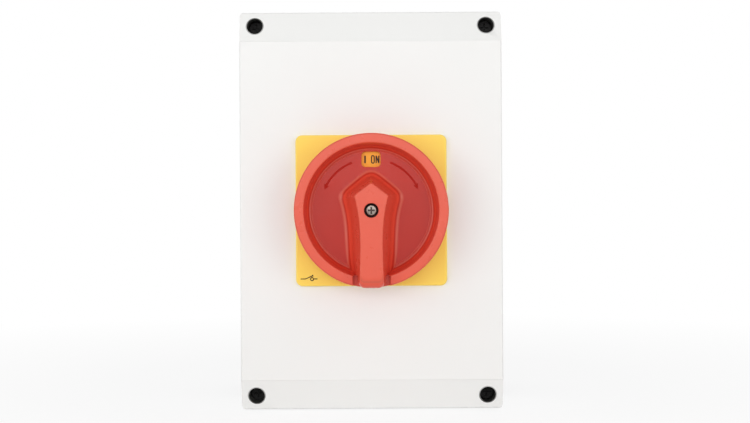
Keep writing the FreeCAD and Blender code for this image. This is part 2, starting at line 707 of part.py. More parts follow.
def grip_outline(level, share, inset=0.0):
    """Pointer-shaped outline; share 0 is the grip's top, 1 its foot."""
    def between(top, foot):
        return top + share * (foot - top)

    apex = Vector(0, between(GRIP_APEX, FOOT_APEX) - inset, level)
    shoulder_x = between(GRIP_SHOULDER_X, FOOT_SHOULDER_X) - inset
    shoulder_y = between(GRIP_SHOULDER_Y, FOOT_SHOULDER_Y)
    waist_x = between(GRIP_WAIST_X, FOOT_WAIST_X) - inset
    tail_x = between(GRIP_TAIL_X, FOOT_TAIL_X) - inset
    half_x = waist_x + 0.2 * (shoulder_x - waist_x)
    half_y = (GRIP_WAIST_Y + shoulder_y) / 2
    side = [(shoulder_x, shoulder_y), (half_x, half_y), (waist_x, GRIP_WAIST_Y), (tail_x, -KNOB_RADIUS)]
    right = Part.BSplineCurve()
    right.interpolate([Vector(x, y, level) for x, y in side])
    left = Part.BSplineCurve()
    left.interpolate([Vector(-x, y, level) for x, y in reversed(side)])
    return Part.Wire([
        Part.LineSegment(apex, Vector(shoulder_x, shoulder_y, level)).toShape(),
        right.toShape(),
        Part.LineSegment(Vector(tail_x, -KNOB_RADIUS, level), Vector(-tail_x, -KNOB_RADIUS, level)).toShape(),
        left.toShape(),
        Part.LineSegment(Vector(-shoulder_x, shoulder_y, level), apex).toShape(),
    ])


def grip():
    """Pointer grip with a flared foot and a tail that rounds off."""
    flare_level = DISH_LEVEL + FOOT_FLARE
    sections = [
        grip_outline(DISH_LEVEL, 1),
        grip_outline(flare_level, 1 - FOOT_FLARE_SHARE),
        grip_outline(GRIP_LEVEL - GRIP_EDGE, 0),
        grip_outline(GRIP_LEVEL, 0, GRIP_EDGE),
    ]
    body = Part.makeLoft(sections, True, True)
    below = DISH_LEVEL - 1
    arc_middle = TAIL_ROUND * (1 - math.sqrt(0.5))
    start = Vector(-KNOB_RADIUS, -TAIL_END, GRIP_LEVEL - TAIL_ROUND)
    middle = Vector(-KNOB_RADIUS, -TAIL_END + arc_middle, GRIP_LEVEL - arc_middle)
    end = Vector(-KNOB_RADIUS, -TAIL_END + TAIL_ROUND, GRIP_LEVEL)
    front_top = Vector(-KNOB_RADIUS, KNOB_RADIUS, GRIP_LEVEL)
    front_low = Vector(-KNOB_RADIUS, KNOB_RADIUS, below)
    back_low = Vector(-KNOB_RADIUS, -TAIL_END, below)
    silhouette = Part.Wire([
        Part.Arc(start, middle, end).toShape(),
        Part.LineSegment(end, front_top).toShape(),
        Part.LineSegment(front_top, front_low).toShape(),
        Part.LineSegment(front_low, back_low).toShape(),
        Part.LineSegment(back_low, start).toShape(),
    ])
    limit = Part.Face(silhouette).extrude(Vector(2 * KNOB_RADIUS, 0, 0))
    return body.common(limit).common(disc(KNOB_RADIUS, below, GRIP_LEVEL))


def slide_channel():
    """Room for the padlock slide and its lug over the whole travel."""
    half = SLIDE_THICK / 2 + SLIDE_PLAY
    top = SLIDE_TOP + SLIDE_PLAY
    lug_half = SLIDE_LUG_WIDTH / 2 + SLIDE_PLAY
    start = -SLIDE_START + SLIDE_PLAY
    lug_end = -SLIDE_START - SLIDE_LUG_LENGTH - SLIDE_TRAVEL - SLIDE_PLAY
    blade = slab(-half, half, start, -KNOB_RADIUS - 1, KNOB_UNDERSIDE - 1, top)
    lug = slab(-lug_half, lug_half, start, lug_end, SLIDE_TOP - SLIDE_LUG_HEIGHT - SLIDE_PLAY, top)
    return blade.fuse(lug)


def knob():
    """The whole red knob."""
    notch = slab(-NOTCH_HALF_WIDTH, NOTCH_HALF_WIDTH, -KNOB_RADIUS - 1, -DISH_RADIUS,
                 RIM_LEVEL - NOTCH_DEPTH, RIM_LEVEL + 1)
    body = joined([knob_cup().cut(notch), grip()])
    window = rounded_slab(WINDOW_WIDTH, WINDOW_HEIGHT, WINDOW_CORNER, KNOB_UNDERSIDE - 1, DISH_LEVEL + 1)
    window.translate(Vector(0, WINDOW_RADIUS, 0))
    return body.cut([
        window,
        square(NECK_SIDE + 2 * NECK_PLAY, KNOB_UNDERSIDE, NECK_LEVEL + END_PLAY),
        disc(KNOB_SCREW_RADIUS + 5 * SCREW_PLAY, NECK_LEVEL, WASHER_LEVEL),
        disc(KNOB_SCREW_WELL, WASHER_LEVEL, GRIP_LEVEL),
        slide_channel(),
    ])


def padlock_slide():
    """Blade in the grip's tail; pulled out, its slot takes a shackle."""
    half = SLIDE_THICK / 2
    end = -TAIL_END + 0.2
    lug_half = SLIDE_LUG_WIDTH / 2
    blade = slab(-half, half, -SLIDE_START, end, SLIDE_LEVEL, SLIDE_TOP)
    lug = slab(-lug_half, lug_half, -SLIDE_START, -SLIDE_START - SLIDE_LUG_LENGTH,
               SLIDE_TOP - SLIDE_LUG_HEIGHT, SLIDE_TOP)
    middle = (SLIDE_LEVEL + SLIDE_TOP) / 2 - 0.5
    slot = slab(-half, half, -SHACKLE_SLOT_START, -SHACKLE_SLOT_START - SHACKLE_SLOT_LENGTH,
                middle - SHACKLE_SLOT_HEIGHT / 2, middle + SHACKLE_SLOT_HEIGHT / 2)
    return joined([blade, lug]).cut(slot)


def knob_driver():
    """Black bush that turns in the collar and carries knob and shaft."""
    journal_start = SPIGOT_END - END_PLAY
    seal_level = DEPTH + SHAFT_SEAL_LEVEL
    seal_half = SHAFT_SEAL_WIRE + 0.2
    seal_floor = JOURNAL_RADIUS - 2 * SHAFT_SEAL_WIRE - GASKET_PLAY
    body = joined([
        disc(FLANGE_RADIUS, DRIVER_END, journal_start),
        disc(JOURNAL_RADIUS, journal_start, DRUM_FACE),
        square(NECK_SIDE, DRUM_FACE, NECK_LEVEL),
    ])
    return body.cut([
        ring(JOURNAL_RADIUS, seal_floor, seal_level - seal_half, seal_level + seal_half),
        square(SHAFT_SIDE + 2 * SHAFT_PLAY, DRIVER_END, DRIVER_END + SOCKET_DEPTH),
        disc(KNOB_SCREW_RADIUS + SCREW_PLAY, DRIVER_END + SOCKET_DEPTH + 2, NECK_LEVEL),
    ])


def knob_screw():
    """Cross-head screw that holds the knob on its driver."""
    seat = WASHER_LEVEL + WASHER_THICK
    return screw(KNOB_SCREW_RADIUS, KNOB_SCREW_HEAD, KNOB_SCREW_HEAD_HEIGHT, seat - KNOB_SCREW_REACH, seat)


def coupling_screw(level):
    """Grub screw in the coupling, tight on the shaft's flat."""
    body = rod_y(GRUB_RADIUS, SHAFT_SIDE / 2, COUPLING_RADIUS - 0.2, 0, level)
    slot = slab(-GRUB_RADIUS, GRUB_RADIUS, COUPLING_RADIUS - 1.2, COUPLING_RADIUS, level - 0.25, level + 0.25)
    return body.cut(slot)


def shaft_coupling():
    """Sleeve that joins the cam shaft to the extension shaft."""
    body = disc(COUPLING_RADIUS, COUPLING_LEVEL, COUPLING_LEVEL + COUPLING_LENGTH)
    body = body.cut(square(SHAFT_SIDE + 2 * SHAFT_PLAY, COUPLING_LEVEL, COUPLING_LEVEL + COUPLING_LENGTH))
    hole = GRUB_RADIUS + SHAFT_PLAY
    return body.cut([rod_y(hole, 0, COUPLING_RADIUS + 1, 0, level) for level in coupling_screw_levels()])


def coupling_screw_levels():
    """One grub screw a quarter of the way in from each end."""
    quarter = COUPLING_LENGTH / 4
    return (SHAFT_JOINT - quarter, SHAFT_JOINT + quarter)


def build_knob():
    """Knob, driver, seals, shaft and padlock slide."""
    save("knob", knob())
    save("padlock_slide", padlock_slide())
    save("knob_driver", knob_driver())
    save("shaft_seal", Part.makeTorus(JOURNAL_RADIUS - SHAFT_SEAL_WIRE - RUNNING_FIT, SHAFT_SEAL_WIRE,
                                      Vector(0, 0, DEPTH + SHAFT_SEAL_LEVEL)))
    save("knob_washer", ring(WASHER_RADIUS, KNOB_SCREW_RADIUS + SCREW_PLAY,
                             WASHER_LEVEL, WASHER_LEVEL + WASHER_THICK))
    save("knob_screw", knob_screw())
    save("extension_shaft", square(SHAFT_SIDE, SHAFT_JOINT, SHAFT_TOP))
    save("shaft_coupling", shaft_coupling())
    save("coupling_screws", [coupling_screw(level) for level in coupling_screw_levels()])


# ---------------------------------------------------------------------------
# Cam shaft, cams and latch
# ---------------------------------------------------------------------------
def cam_shaft():
    """Square shaft with a journal at each end and a tang for the coupling."""
    journal_start = LATCH_COVER_LEVEL - 1.5
    return joined([
        disc(REAR_JOURNAL, REAR_DECK_LEVEL - REAR_JOURNAL_LENGTH, REAR_DECK_LEVEL),
        square(CAM_SHAFT_SIDE, REAR_DECK_LEVEL, journal_start),
        disc(FRONT_JOURNAL, journal_start, BLOCK_TOP + 0.2),
        square(SHAFT_SIDE, BLOCK_TOP, SHAFT_JOINT),
    ])


def keyed(body, z0, z1):
    """Cut the cam shaft's square hole through a disc."""
    return body.cut(square(CAM_SHAFT_SIDE + 2 * SHAFT_PLAY, z0, z1))


def cam_curve(start, end, radius_at, z):
    """Smooth edge from start to end degrees with a radius for each angle."""
    steps = 8
    angles = [start + (end - start) * step / steps for step in range(steps + 1)]
    curve = Part.BSplineCurve()
    curve.interpolate([polar(radius_at(angle), angle, z) for angle in angles])
    return curve.toShape()


def cam_arc(start, end, radius, z):
    """Dwell of a cam."""
    middle = (start + end) / 2
    return Part.Arc(polar(radius, start, z), polar(radius, middle, z), polar(radius, end, z)).toShape()


def cam(level):
    """Two-lobed cam; over the quarter turn its radius grows evenly."""
    z0 = level + DECK_FLOOR + (DECK_THICK - DECK_FLOOR - CAM_THICK) / 2
    edges = []
    for low in (0.0, 180.0):
        rise = low + CAM_DWELL
        high = rise + CAM_RISE

        def falling(angle):
            return CAM_LOW + CAM_LIFT * (low - angle) / QUARTER

        def rising(angle):
            return CAM_LOW + CAM_LIFT * (1 - math.cos(math.pi * (angle - rise) / CAM_RISE)) / 2

        edges.append(cam_curve(low - QUARTER, low, falling, z0))
        edges.append(cam_arc(low, rise, CAM_LOW, z0))
        edges.append(cam_curve(rise, high, rising, z0))
        edges.append(cam_arc(high, low + QUARTER, CAM_HIGH, z0))
    body = Part.Face(Part.Wire(edges)).extrude(Vector(0, 0, CAM_THICK))
    hub_start = level + DECK_FLOOR + PLUNGER_PLAY
    hub_end = level + DECK_THICK - PLUNGER_PLAY
    body = joined([body, disc(CAM_HUB, hub_start, hub_end)])
    return keyed(body, hub_start, hub_end)


def latch_star():
    """Disc with four shallow flutes for the latch rollers."""
    z0 = LATCH_LEVEL + DECK_FLOOR + PLUNGER_PLAY
    z1 = z0 + STAR_THICK
    reach = STAR_RADIUS - FLUTE_DEPTH + ROLLER_RADIUS + ROLLER_GAP
    flutes = []
    for quarter in range(4):
        centre = polar(reach, quarter * QUARTER, 0)
        flutes.append(disc(ROLLER_RADIUS + ROLLER_GAP, z0, z1, centre.x, centre.y))
    return keyed(disc(STAR_RADIUS, z0, z1).cut(flutes), z0, z1)


def stop_levels():
    """Bottom and top of the stop disc."""
    z0 = LATCH_LEVEL + DECK_FLOOR + STAR_THICK + 3 * PLUNGER_PLAY
    return z0, z0 + STOP_THICK


def stop_disc():
    """Disc with one lug that meets a post in the housing at ON and at OFF."""
    z0, z1 = stop_levels()
    lug = sector(STOP_RADIUS - 1, STOP_REACH, -QUARTER - STOP_HALF_ANGLE, -QUARTER + STOP_HALF_ANGLE, z0, z1)
    return keyed(joined([disc(STOP_RADIUS, z0, z1), lug]), z0, z1)


def latch_housing():
    """Housing with room for the star, its rollers and the stop disc."""
    floor = LATCH_LEVEL + DECK_FLOOR
    stop_floor = stop_levels()[0] - PLUNGER_PLAY
    top = LATCH_COVER_LEVEL
    channel = PUSHER_HALF_WIDTH + PLUNGER_PLAY
    room = STOP_REACH + 1
    body = rounded_slab(BLOCK_SIDE, BLOCK_SIDE, BLOCK_CORNER, LATCH_LEVEL, top)
    cuts = [
        disc(STAR_RADIUS + CAM_ROOM, floor, top),
        disc(room, stop_floor, top),
        slab(-CHAMBER_END, CHAMBER_END, -channel, channel, floor, top),
        disc(SHAFT_HOLE, LATCH_LEVEL, floor),
    ]
    cuts += corner_discs(TIE_RADIUS + TIE_PLAY, LATCH_LEVEL, top, TIE_SPREAD, TIE_SPREAD)
    pocket_end = TIE_SPREAD - TIE_HEAD - 1
    for sx, sy in CORNERS:
        cuts.append(slab(sx * (room + 4), sx * CHAMBER_END, sy * (channel + 3), sy * pocket_end, floor, top))
    body = body.cut(cuts)
    inner = STOP_RADIUS + 1.5
    on_post_end = -QUARTER - STOP_HALF_ANGLE - STOP_GAP_ANGLE
    off_post_start = STOP_HALF_ANGLE + STOP_GAP_ANGLE
    posts = [
        sector(inner, room + 1, on_post_end - STOP_POST_ANGLE, on_post_end, stop_floor, top),
        sector(inner, room + 1, off_post_start, off_post_start + STOP_POST_ANGLE, stop_floor, top),
    ]
    return joined([body] + posts)


def latch_pusher(side):
    """Slider that holds a roller against the star."""
    z0 = LATCH_LEVEL + DECK_FLOOR + 2 * PLUNGER_PLAY
    body = slab(side * (ROLLER_CENTRE + 0.2), side * (ROLLER_CENTRE + 0.2 + PUSHER_LENGTH),
                -PUSHER_HALF_WIDTH, PUSHER_HALF_WIDTH, z0, z0 + ROLLER_LENGTH)
    return body.cut(disc(ROLLER_RADIUS + RUNNING_FIT, z0, z0 + ROLLER_LENGTH, side * ROLLER_CENTRE, 0))


def latch_roller(side):
    """Steel roller beside the star."""
    z0 = LATCH_LEVEL + DECK_FLOOR + 2 * PLUNGER_PLAY
    return disc(ROLLER_RADIUS, z0, z0 + ROLLER_LENGTH, side * ROLLER_CENTRE, 0)


def latch_spring(side):
    """Spring between a pusher and the housing's wall."""
    middle = LATCH_LEVEL + DECK_FLOOR + 2 * PLUNGER_PLAY + ROLLER_LENGTH / 2
    start = ROLLER_CENTRE + 0.2 + PUSHER_LENGTH
    return coil_x(LATCH_SPRING_RADIUS - SPRING_WIRE, SPRING_WIRE, SPRING_TURNS,
                  side * start, side * CHAMBER_END, middle)


def build_drive():
    """Cam shaft with everything that it turns, and the latch."""
    save("cam_shaft", cam_shaft())
    save("cam_rear", cam(REAR_DECK_LEVEL))
    save("cam_front", cam(FRONT_DECK_LEVEL))
    save("latch_star", latch_star())
    save("stop_disc", stop_disc())
    save("latch_housing", latch_housing())
    save("latch_pushers", [latch_pusher(side) for side in SIDES])
    save("latch_rollers", [latch_roller(side) for side in SIDES])
    save("latch_springs", [latch_spring(side) for side in SIDES])


# ---------------------------------------------------------------------------
# Switch block
# ---------------------------------------------------------------------------
def drilled_plate(width, z0, z1):
    """Plate of the switch block's outline with its tie-bolt holes."""
    plate = rounded_slab(width, BLOCK_SIDE, BLOCK_CORNER, z0, z1)
    return plate.cut(corner_discs(TIE_RADIUS + TIE_PLAY, z0, z1, TIE_SPREAD, TIE_SPREAD))


def mounting_plate():
    """Steel carrier on the base's four posts."""
    plate = drilled_plate(CARRIER_WIDTH, CARRIER_LEVEL, REAR_LEVEL)
    hole = MOUNTING_SCREW_RADIUS + 2 * SCREW_PLAY
    return plate.cut(corner_discs(hole, CARRIER_LEVEL, REAR_LEVEL, POST_X, POST_Y))


def mounting_screw(x, y):
    """Screw through the mounting plate into a post."""
    return screw(MOUNTING_SCREW_RADIUS, MOUNTING_SCREW_HEAD, 2.2, WALL + 2, REAR_LEVEL, x, y)


def rear_housing():
    """Rear end of the switch block, with the shaft's blind bearing."""
    bearing_floor = REAR_DECK_LEVEL - REAR_JOURNAL_LENGTH - 0.2
    plate = drilled_plate(BLOCK_SIDE, REAR_LEVEL, REAR_DECK_LEVEL)
    return plate.cut(disc(REAR_JOURNAL + JOURNAL_PLAY, bearing_floor, REAR_DECK_LEVEL))


def latch_cover():
    """Steel front plate with the shaft's front bearing."""
    plate = drilled_plate(BLOCK_SIDE, LATCH_COVER_LEVEL, BLOCK_TOP)
    return plate.cut(disc(FRONT_JOURNAL + JOURNAL_PLAY, LATCH_COVER_LEVEL, BLOCK_TOP))


def contact_deck(level, poles, reach):
    """Moulded deck with a chamber on each side; poles are the sides in use."""
    floor = level + DECK_FLOOR
    top = level + DECK_THICK
    strip_level = level + DECK_FLOOR + (DECK_THICK - DECK_FLOOR - STRIP_WIDTH) / 2
    terminal_y = reach - TERMINAL_LENGTH / 2
    inner = STRIP_BACK - 0.2
    outer = STRIP_FACE + TERMINAL_LENGTH + 0.4
    shelf_end = reach + TERMINAL_SHELF
    pieces = [drilled_plate(BLOCK_SIDE, level, top)]
    for side in poles:
        for end in SIDES:
            start = end * HALF_BLOCK
            stop = end * shelf_end
            pieces.append(slab(side * inner, side * outer, start, stop, level, strip_level))
            for x in (inner - BARRIER, outer):
                pieces.append(slab(side * x, side * (x + BARRIER), start, stop, level, top))
    body = joined(pieces)

    channel = PLUNGER_HALF_WIDTH + PLUNGER_PLAY
    spring_room = SPRING_RADIUS + 1
    bridge_room = BRIDGE_BACK + CAM_LIFT + 0.6
    cuts = [disc(CAM_CHAMBER, floor, top), disc(SHAFT_HOLE, level, floor)]
    for side in SIDES:
        cuts.append(slab(0, side * CHAMBER_END, -channel, channel, floor, top))
        cuts.append(slab(side * bridge_room, side * CHAMBER_END, -spring_room, spring_room, floor, top))
        cuts.append(slab(side * (STRIP_FACE + 0.2), side * bridge_room,
                         -BRIDGE_HALF_LENGTH - 2, BRIDGE_HALF_LENGTH + 2, floor, top))
        for end in SIDES:
            cuts.append(slab(side * (STRIP_FACE + 3.5), side * CHAMBER_END, end * (BRIDGE_HALF_LENGTH + 5),
                             end * (TIE_SPREAD - TIE_HEAD - 1), floor, top))
    for side in poles:
        for end in SIDES:
            slot = (side * STRIP_BACK, side * (STRIP_FACE + 0.2))
            cuts.append(slab(*slot, end * STRIP_START, end * HALF_BLOCK, strip_level, top))
            cuts.append(disc(TERMINAL_SCREW_RADIUS + 0.6, floor, strip_level,
                             side * (STRIP_FACE + TERMINAL_LENGTH / 2), end * terminal_y))
    return body.cut(cuts)


def tie_bolt(x, y):
    """Long screw through the whole stack."""
    tip = CARRIER_LEVEL - NUT_HEIGHT - TIE_TAIL
    return screw(TIE_RADIUS, TIE_HEAD, TIE_HEAD_HEIGHT, tip, BLOCK_TOP, x, y)


def tie_nut(x, y):
    """Hexagon nut behind the mounting plate."""
    z0 = CARRIER_LEVEL - NUT_HEIGHT
    reach = NUT_WIDTH / math.sqrt(3)
    corners = [polar(reach, 60 * step, z0) for step in range(6)]
    nut = Part.Face(Part.makePolygon(corners + corners[:1])).extrude(Vector(0, 0, NUT_HEIGHT))
    nut = nut.cut(disc(TIE_RADIUS + RUNNING_FIT, z0, CARRIER_LEVEL))
    nut.translate(Vector(x, y, 0))
    return nut


def build_block():
    """Stack of housings with what holds it together and to the base."""
    front_poles = [side for _, side, level, _ in POLES if level == FRONT_DECK_LEVEL]
    rear_poles = [side for _, side, level, _ in POLES if level == REAR_DECK_LEVEL]
    save("mounting_plate", mounting_plate())
    save("mounting_screws", at_corners(mounting_screw, POST_X, POST_Y))
    save("rear_housing", rear_housing())
    save("contact_deck_rear", contact_deck(REAR_DECK_LEVEL, rear_poles, REAR_REACH))
    save("contact_deck_front", contact_deck(FRONT_DECK_LEVEL, front_poles, FRONT_REACH))
    save("latch_cover", latch_cover())
    save("tie_bolts", at_corners(tie_bolt, TIE_SPREAD, TIE_SPREAD))
    save("tie_nuts", at_corners(tie_nut, TIE_SPREAD, TIE_SPREAD))


# ---------------------------------------------------------------------------
# Poles
# ---------------------------------------------------------------------------
def deck_middle(level):
    """Level of a deck's contacts."""
    return level + (DECK_THICK + DECK_FLOOR) / 2


def plunger(side, level):
    """Slider with a round nose on the cam; the bridge passes through it."""
    middle = deck_middle(level)
    half = PLUNGER_HALF_WIDTH
    body = joined([
        slab(side * NOSE_CENTRE, side * PLUNGER_END, -half, half,
             level + DECK_FLOOR + PLUNGER_PLAY, level + DECK_THICK - PLUNGER_PLAY),
        disc(NOSE_RADIUS, middle - CAM_THICK / 2 - 0.5, middle + CAM_THICK / 2 + 0.5, side * NOSE_CENTRE, 0),
        rod_x(SPRING_STUB, side * (PLUNGER_END - 0.5), side * (PLUNGER_END + SPRING_STUB_LENGTH), 0, middle),
    ])
    slot = BRIDGE_WIDTH / 2 + 0.1
    return body.cut(slab(side * (BRIDGE_FACE - 0.1), side * (BRIDGE_BACK + 0.1), -half, half,
                         middle - slot, middle + slot))


def fixed_contact(side, end, level, reach):
    """Copper strip from the chamber to its terminal, folded under the screw."""
    low = deck_middle(level) - STRIP_WIDTH / 2
    strip = slab(side * STRIP_BACK, side * STRIP_FACE, end * STRIP_START, end * reach, low, low + STRIP_WIDTH)
    tab = slab(side * STRIP_FACE, side * (STRIP_FACE + TERMINAL_LENGTH), end * (reach - TERMINAL_LENGTH),
               end * reach, low, low + STRIP_THICK)
    x = side * (STRIP_FACE + TERMINAL_LENGTH / 2)
    y = end * (reach - TERMINAL_LENGTH / 2)
    return joined([strip, tab]).cut(disc(TERMINAL_SCREW_RADIUS + SCREW_PLAY, low, low + STRIP_THICK, x, y))


def fixed_tip(side, end, level):
    """Silver tip on a fixed contact."""
    middle = deck_middle(level)
    half = TIP_LENGTH / 2
    return slab(side * STRIP_FACE, side * CONTACT_FACE, end * TIP_START, end * (TIP_START + TIP_LENGTH),
                middle - half, middle + half)


def moving_tip(side, end, level):
    """Silver tip on a contact bridge."""
    middle = deck_middle(level)
    half = TIP_LENGTH / 2
    return slab(side * CONTACT_FACE, side * BRIDGE_FACE, end * TIP_START, end * (TIP_START + TIP_LENGTH),
                middle - half, middle + half)


def contact_bridge(side, level):
    """Copper bar that joins a pole's two fixed contacts."""
    middle = deck_middle(level)
    half = BRIDGE_WIDTH / 2
    return slab(side * BRIDGE_FACE, side * BRIDGE_BACK, -BRIDGE_HALF_LENGTH, BRIDGE_HALF_LENGTH,
                middle - half, middle + half)


def terminal_clamp(side, end, level, reach):
    """Steel plate that presses a wire on the contact's tab."""
    low = deck_middle(level) - STRIP_WIDTH / 2 + STRIP_THICK + TERMINAL_GAP
    x = side * (STRIP_FACE + TERMINAL_LENGTH / 2)
    y = end * (reach - TERMINAL_LENGTH / 2)
    half = TERMINAL_LENGTH / 2 - 0.6
    plate = slab(x - half, x + half, y - half, y + half, low, low + STRIP_THICK)
    return plate.cut(disc(TERMINAL_SCREW_RADIUS + SCREW_PLAY, low, low + STRIP_THICK, x, y))


def terminal_screw(side, end, level, reach):
    """Screw of a terminal."""
    low = deck_middle(level) - STRIP_WIDTH / 2
    seat = low + 2 * STRIP_THICK + TERMINAL_GAP
    x = side * (STRIP_FACE + TERMINAL_LENGTH / 2)
    y = end * (reach - TERMINAL_LENGTH / 2)
    return screw(TERMINAL_SCREW_RADIUS, TERMINAL_SCREW_HEAD, TERMINAL_SCREW_HEAD_HEIGHT, low - 2, seat, x, y)


def build_poles():
    """Three poles, and the small pieces that they share."""
    tips = []
    clamps = []
    screws = []
    for number, side, level, reach in POLES:
        save("plunger_%d" % number, plunger(side, level))
        save("contact_bridge_%d" % number, contact_bridge(side, level))
        save("bridge_tips_%d" % number, [moving_tip(side, end, level) for end in SIDES])
        spring = coil_x(SPRING_RADIUS, SPRING_WIRE, SPRING_TURNS,
                        side * PLUNGER_END, side * CHAMBER_END, deck_middle(level))
        save("contact_spring_%d" % number, spring)
        save("line_contact_%d" % number, fixed_contact(side, 1, level, reach))
        save("load_contact_%d" % number, fixed_contact(side, -1, level, reach))
        for end in SIDES:
            tips.append(fixed_tip(side, end, level))
            clamps.append(terminal_clamp(side, end, level, reach))
            screws.append(terminal_screw(side, end, level, reach))
    save("fixed_contact_tips", tips)
    save("terminal_clamps", clamps)
    save("terminal_screws", screws)


# ---------------------------------------------------------------------------
# Earth and neutral terminals
# ---------------------------------------------------------------------------
def link_screws(x, y):
    """Two clamping screws of a terminal block."""
    top = WALL + LINK_FOOT_HEIGHT + LINK_HEIGHT
    screws = []
    for side in SIDES:
        place = x + side * LINK_PITCH / 2
        body = disc(LINK_SCREW_RADIUS, top - LINK_SCREW_HEIGHT / 2, top + LINK_SCREW_HEIGHT / 2, place, y)
        slot = slab(place - LINK_SCREW_RADIUS, place + LINK_SCREW_RADIUS, y - 0.4, y + 0.4,
                    top + LINK_SCREW_HEIGHT / 2 - 1, top + LINK_SCREW_HEIGHT / 2)
        screws.append(body.cut(slot))
    return screws


def link_block(x, y):
    """Brass block with two wire bores under two screws."""
    z0 = WALL + LINK_FOOT_HEIGHT
    half = LINK_LENGTH / 2
    low_y = y - LINK_WIDTH / 2
    high_y = y + LINK_WIDTH / 2
    bore_level = z0 + LINK_BORE + 1.5
    block = slab(x - half, x + half, low_y, high_y, z0, z0 + LINK_HEIGHT)
    cuts = []
    for side in SIDES:
        place = x + side * LINK_PITCH / 2
        cuts.append(rod_y(LINK_BORE, low_y, high_y, place, bore_level))
        cuts.append(disc(LINK_SCREW_RADIUS + RUNNING_FIT, bore_level, z0 + LINK_HEIGHT, place, y))
    return block.cut(cuts)


def link_foot(x, y):
    """Moulded foot under a terminal block, with a lip at each end."""
    half = LINK_LENGTH / 2
    outer = half + LINK_FOOT_MARGIN
    low_y = y - LINK_WIDTH / 2
    high_y = y + LINK_WIDTH / 2
    top = WALL + LINK_FOOT_HEIGHT
    body = slab(x - outer, x + outer, low_y, high_y, WALL, top)
    lip_top = top + LINK_LIP
    lips = [slab(x + side * half, x + side * outer, low_y, high_y, WALL, lip_top) for side in SIDES]
    return joined([body] + lips)


def build_links():
    """Earth block on the left, neutral block on the right."""
    y = -HEIGHT / 2 + LINK_RISE
    blocks = []
    screws = []
    for name, side in (("earth", -1), ("neutral", 1)):
        save("%s_terminal_foot" % name, link_foot(side * LINK_X, y))
        blocks.append(link_block(side * LINK_X, y))
        screws += link_screws(side * LINK_X, y)
    save("terminal_blocks", blocks)
    save("terminal_block_screws", screws)


os.makedirs("parts", exist_ok=True)
build_enclosure()
build_front_plate()
build_knob()
build_drive()
build_block()
build_poles()
build_links()
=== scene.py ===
"""Looks of a rotary isolator switch in a wall enclosure.

Sizes in the classes are millimetres in the plan frame: x to the right, y up
the wall, d out of the wall. ``to_row`` turns plan points into the row frame,
in metres. Finishes read each piece's own Object coordinates, in metres.
"""

import json
import logging
import math
from dataclasses import dataclass
from enum import Enum

import bmesh
import bpy
import numpy as np
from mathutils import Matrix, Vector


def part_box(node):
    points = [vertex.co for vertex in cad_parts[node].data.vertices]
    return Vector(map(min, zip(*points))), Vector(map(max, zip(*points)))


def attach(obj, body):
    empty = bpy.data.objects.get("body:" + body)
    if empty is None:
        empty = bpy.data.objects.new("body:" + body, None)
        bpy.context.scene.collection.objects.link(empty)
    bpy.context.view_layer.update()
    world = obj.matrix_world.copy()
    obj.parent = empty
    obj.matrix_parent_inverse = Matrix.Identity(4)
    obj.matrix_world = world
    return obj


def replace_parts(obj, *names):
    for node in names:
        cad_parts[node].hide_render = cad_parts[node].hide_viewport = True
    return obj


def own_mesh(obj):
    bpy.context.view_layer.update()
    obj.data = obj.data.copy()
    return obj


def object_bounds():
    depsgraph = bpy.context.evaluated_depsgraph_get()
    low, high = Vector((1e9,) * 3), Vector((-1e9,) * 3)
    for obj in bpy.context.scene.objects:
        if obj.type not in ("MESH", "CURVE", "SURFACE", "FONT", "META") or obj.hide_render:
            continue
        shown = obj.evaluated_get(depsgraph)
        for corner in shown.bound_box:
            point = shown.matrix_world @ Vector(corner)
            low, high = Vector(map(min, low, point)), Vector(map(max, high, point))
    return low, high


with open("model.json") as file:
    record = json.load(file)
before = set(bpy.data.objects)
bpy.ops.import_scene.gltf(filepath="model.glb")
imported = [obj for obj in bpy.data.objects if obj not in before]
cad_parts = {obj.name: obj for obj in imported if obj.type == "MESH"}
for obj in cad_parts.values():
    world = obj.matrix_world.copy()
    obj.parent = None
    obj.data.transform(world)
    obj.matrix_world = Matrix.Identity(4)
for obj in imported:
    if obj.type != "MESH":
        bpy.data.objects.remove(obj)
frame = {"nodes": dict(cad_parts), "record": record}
CAD_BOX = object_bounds()

LOG = logging.getLogger("isolator")
MM = 0.001
SHARP_ANGLE, BEVEL_ANGLE, FLAT_ANGLE = (math.radians(degrees) for degrees in (32, 50, 0.2))
Array = np.ndarray
Pair = tuple[float, float]
Triple = tuple[float, float, float]
Colour = Triple
Piece = bpy.types.Object


# Plan geometry
def to_row(points: Array) -> Array:
    """Plan points in millimetres as row points in metres: (x, y, d) goes to (x, -d, y)."""
    return np.stack([points[..., 0], -points[..., 2], points[..., 1]], axis=-1) * MM


def smooth_step(value: Array) -> Array:
    """Three times the square less twice the cube, of the value held between 0 and 1."""
    held = np.clip(value, 0.0, 1.0)
    return held * held * (3.0 - 2.0 * held)


def arc_points(centre: Pair, radii: Pair, start: float, end: float,
               steps: int) -> Array:
    """Points of an elliptic arc.

    Each point is the centre plus (first radius times the cosine, second radius
    times the sine) of an angle that runs evenly from start to end.

    Args:
        centre: Middle of the arc.
        radii: Half-widths along the two axes.
        start: First angle in degrees.
        end: Last angle in degrees.
        steps: Number of points.

    Returns:
        Array of shape (steps, 2).
    """
    angle = np.radians(np.linspace(start, end, steps))
    return np.stack([centre[0] + radii[0] * np.cos(angle), centre[1] + radii[1] * np.sin(angle)], axis=-1)


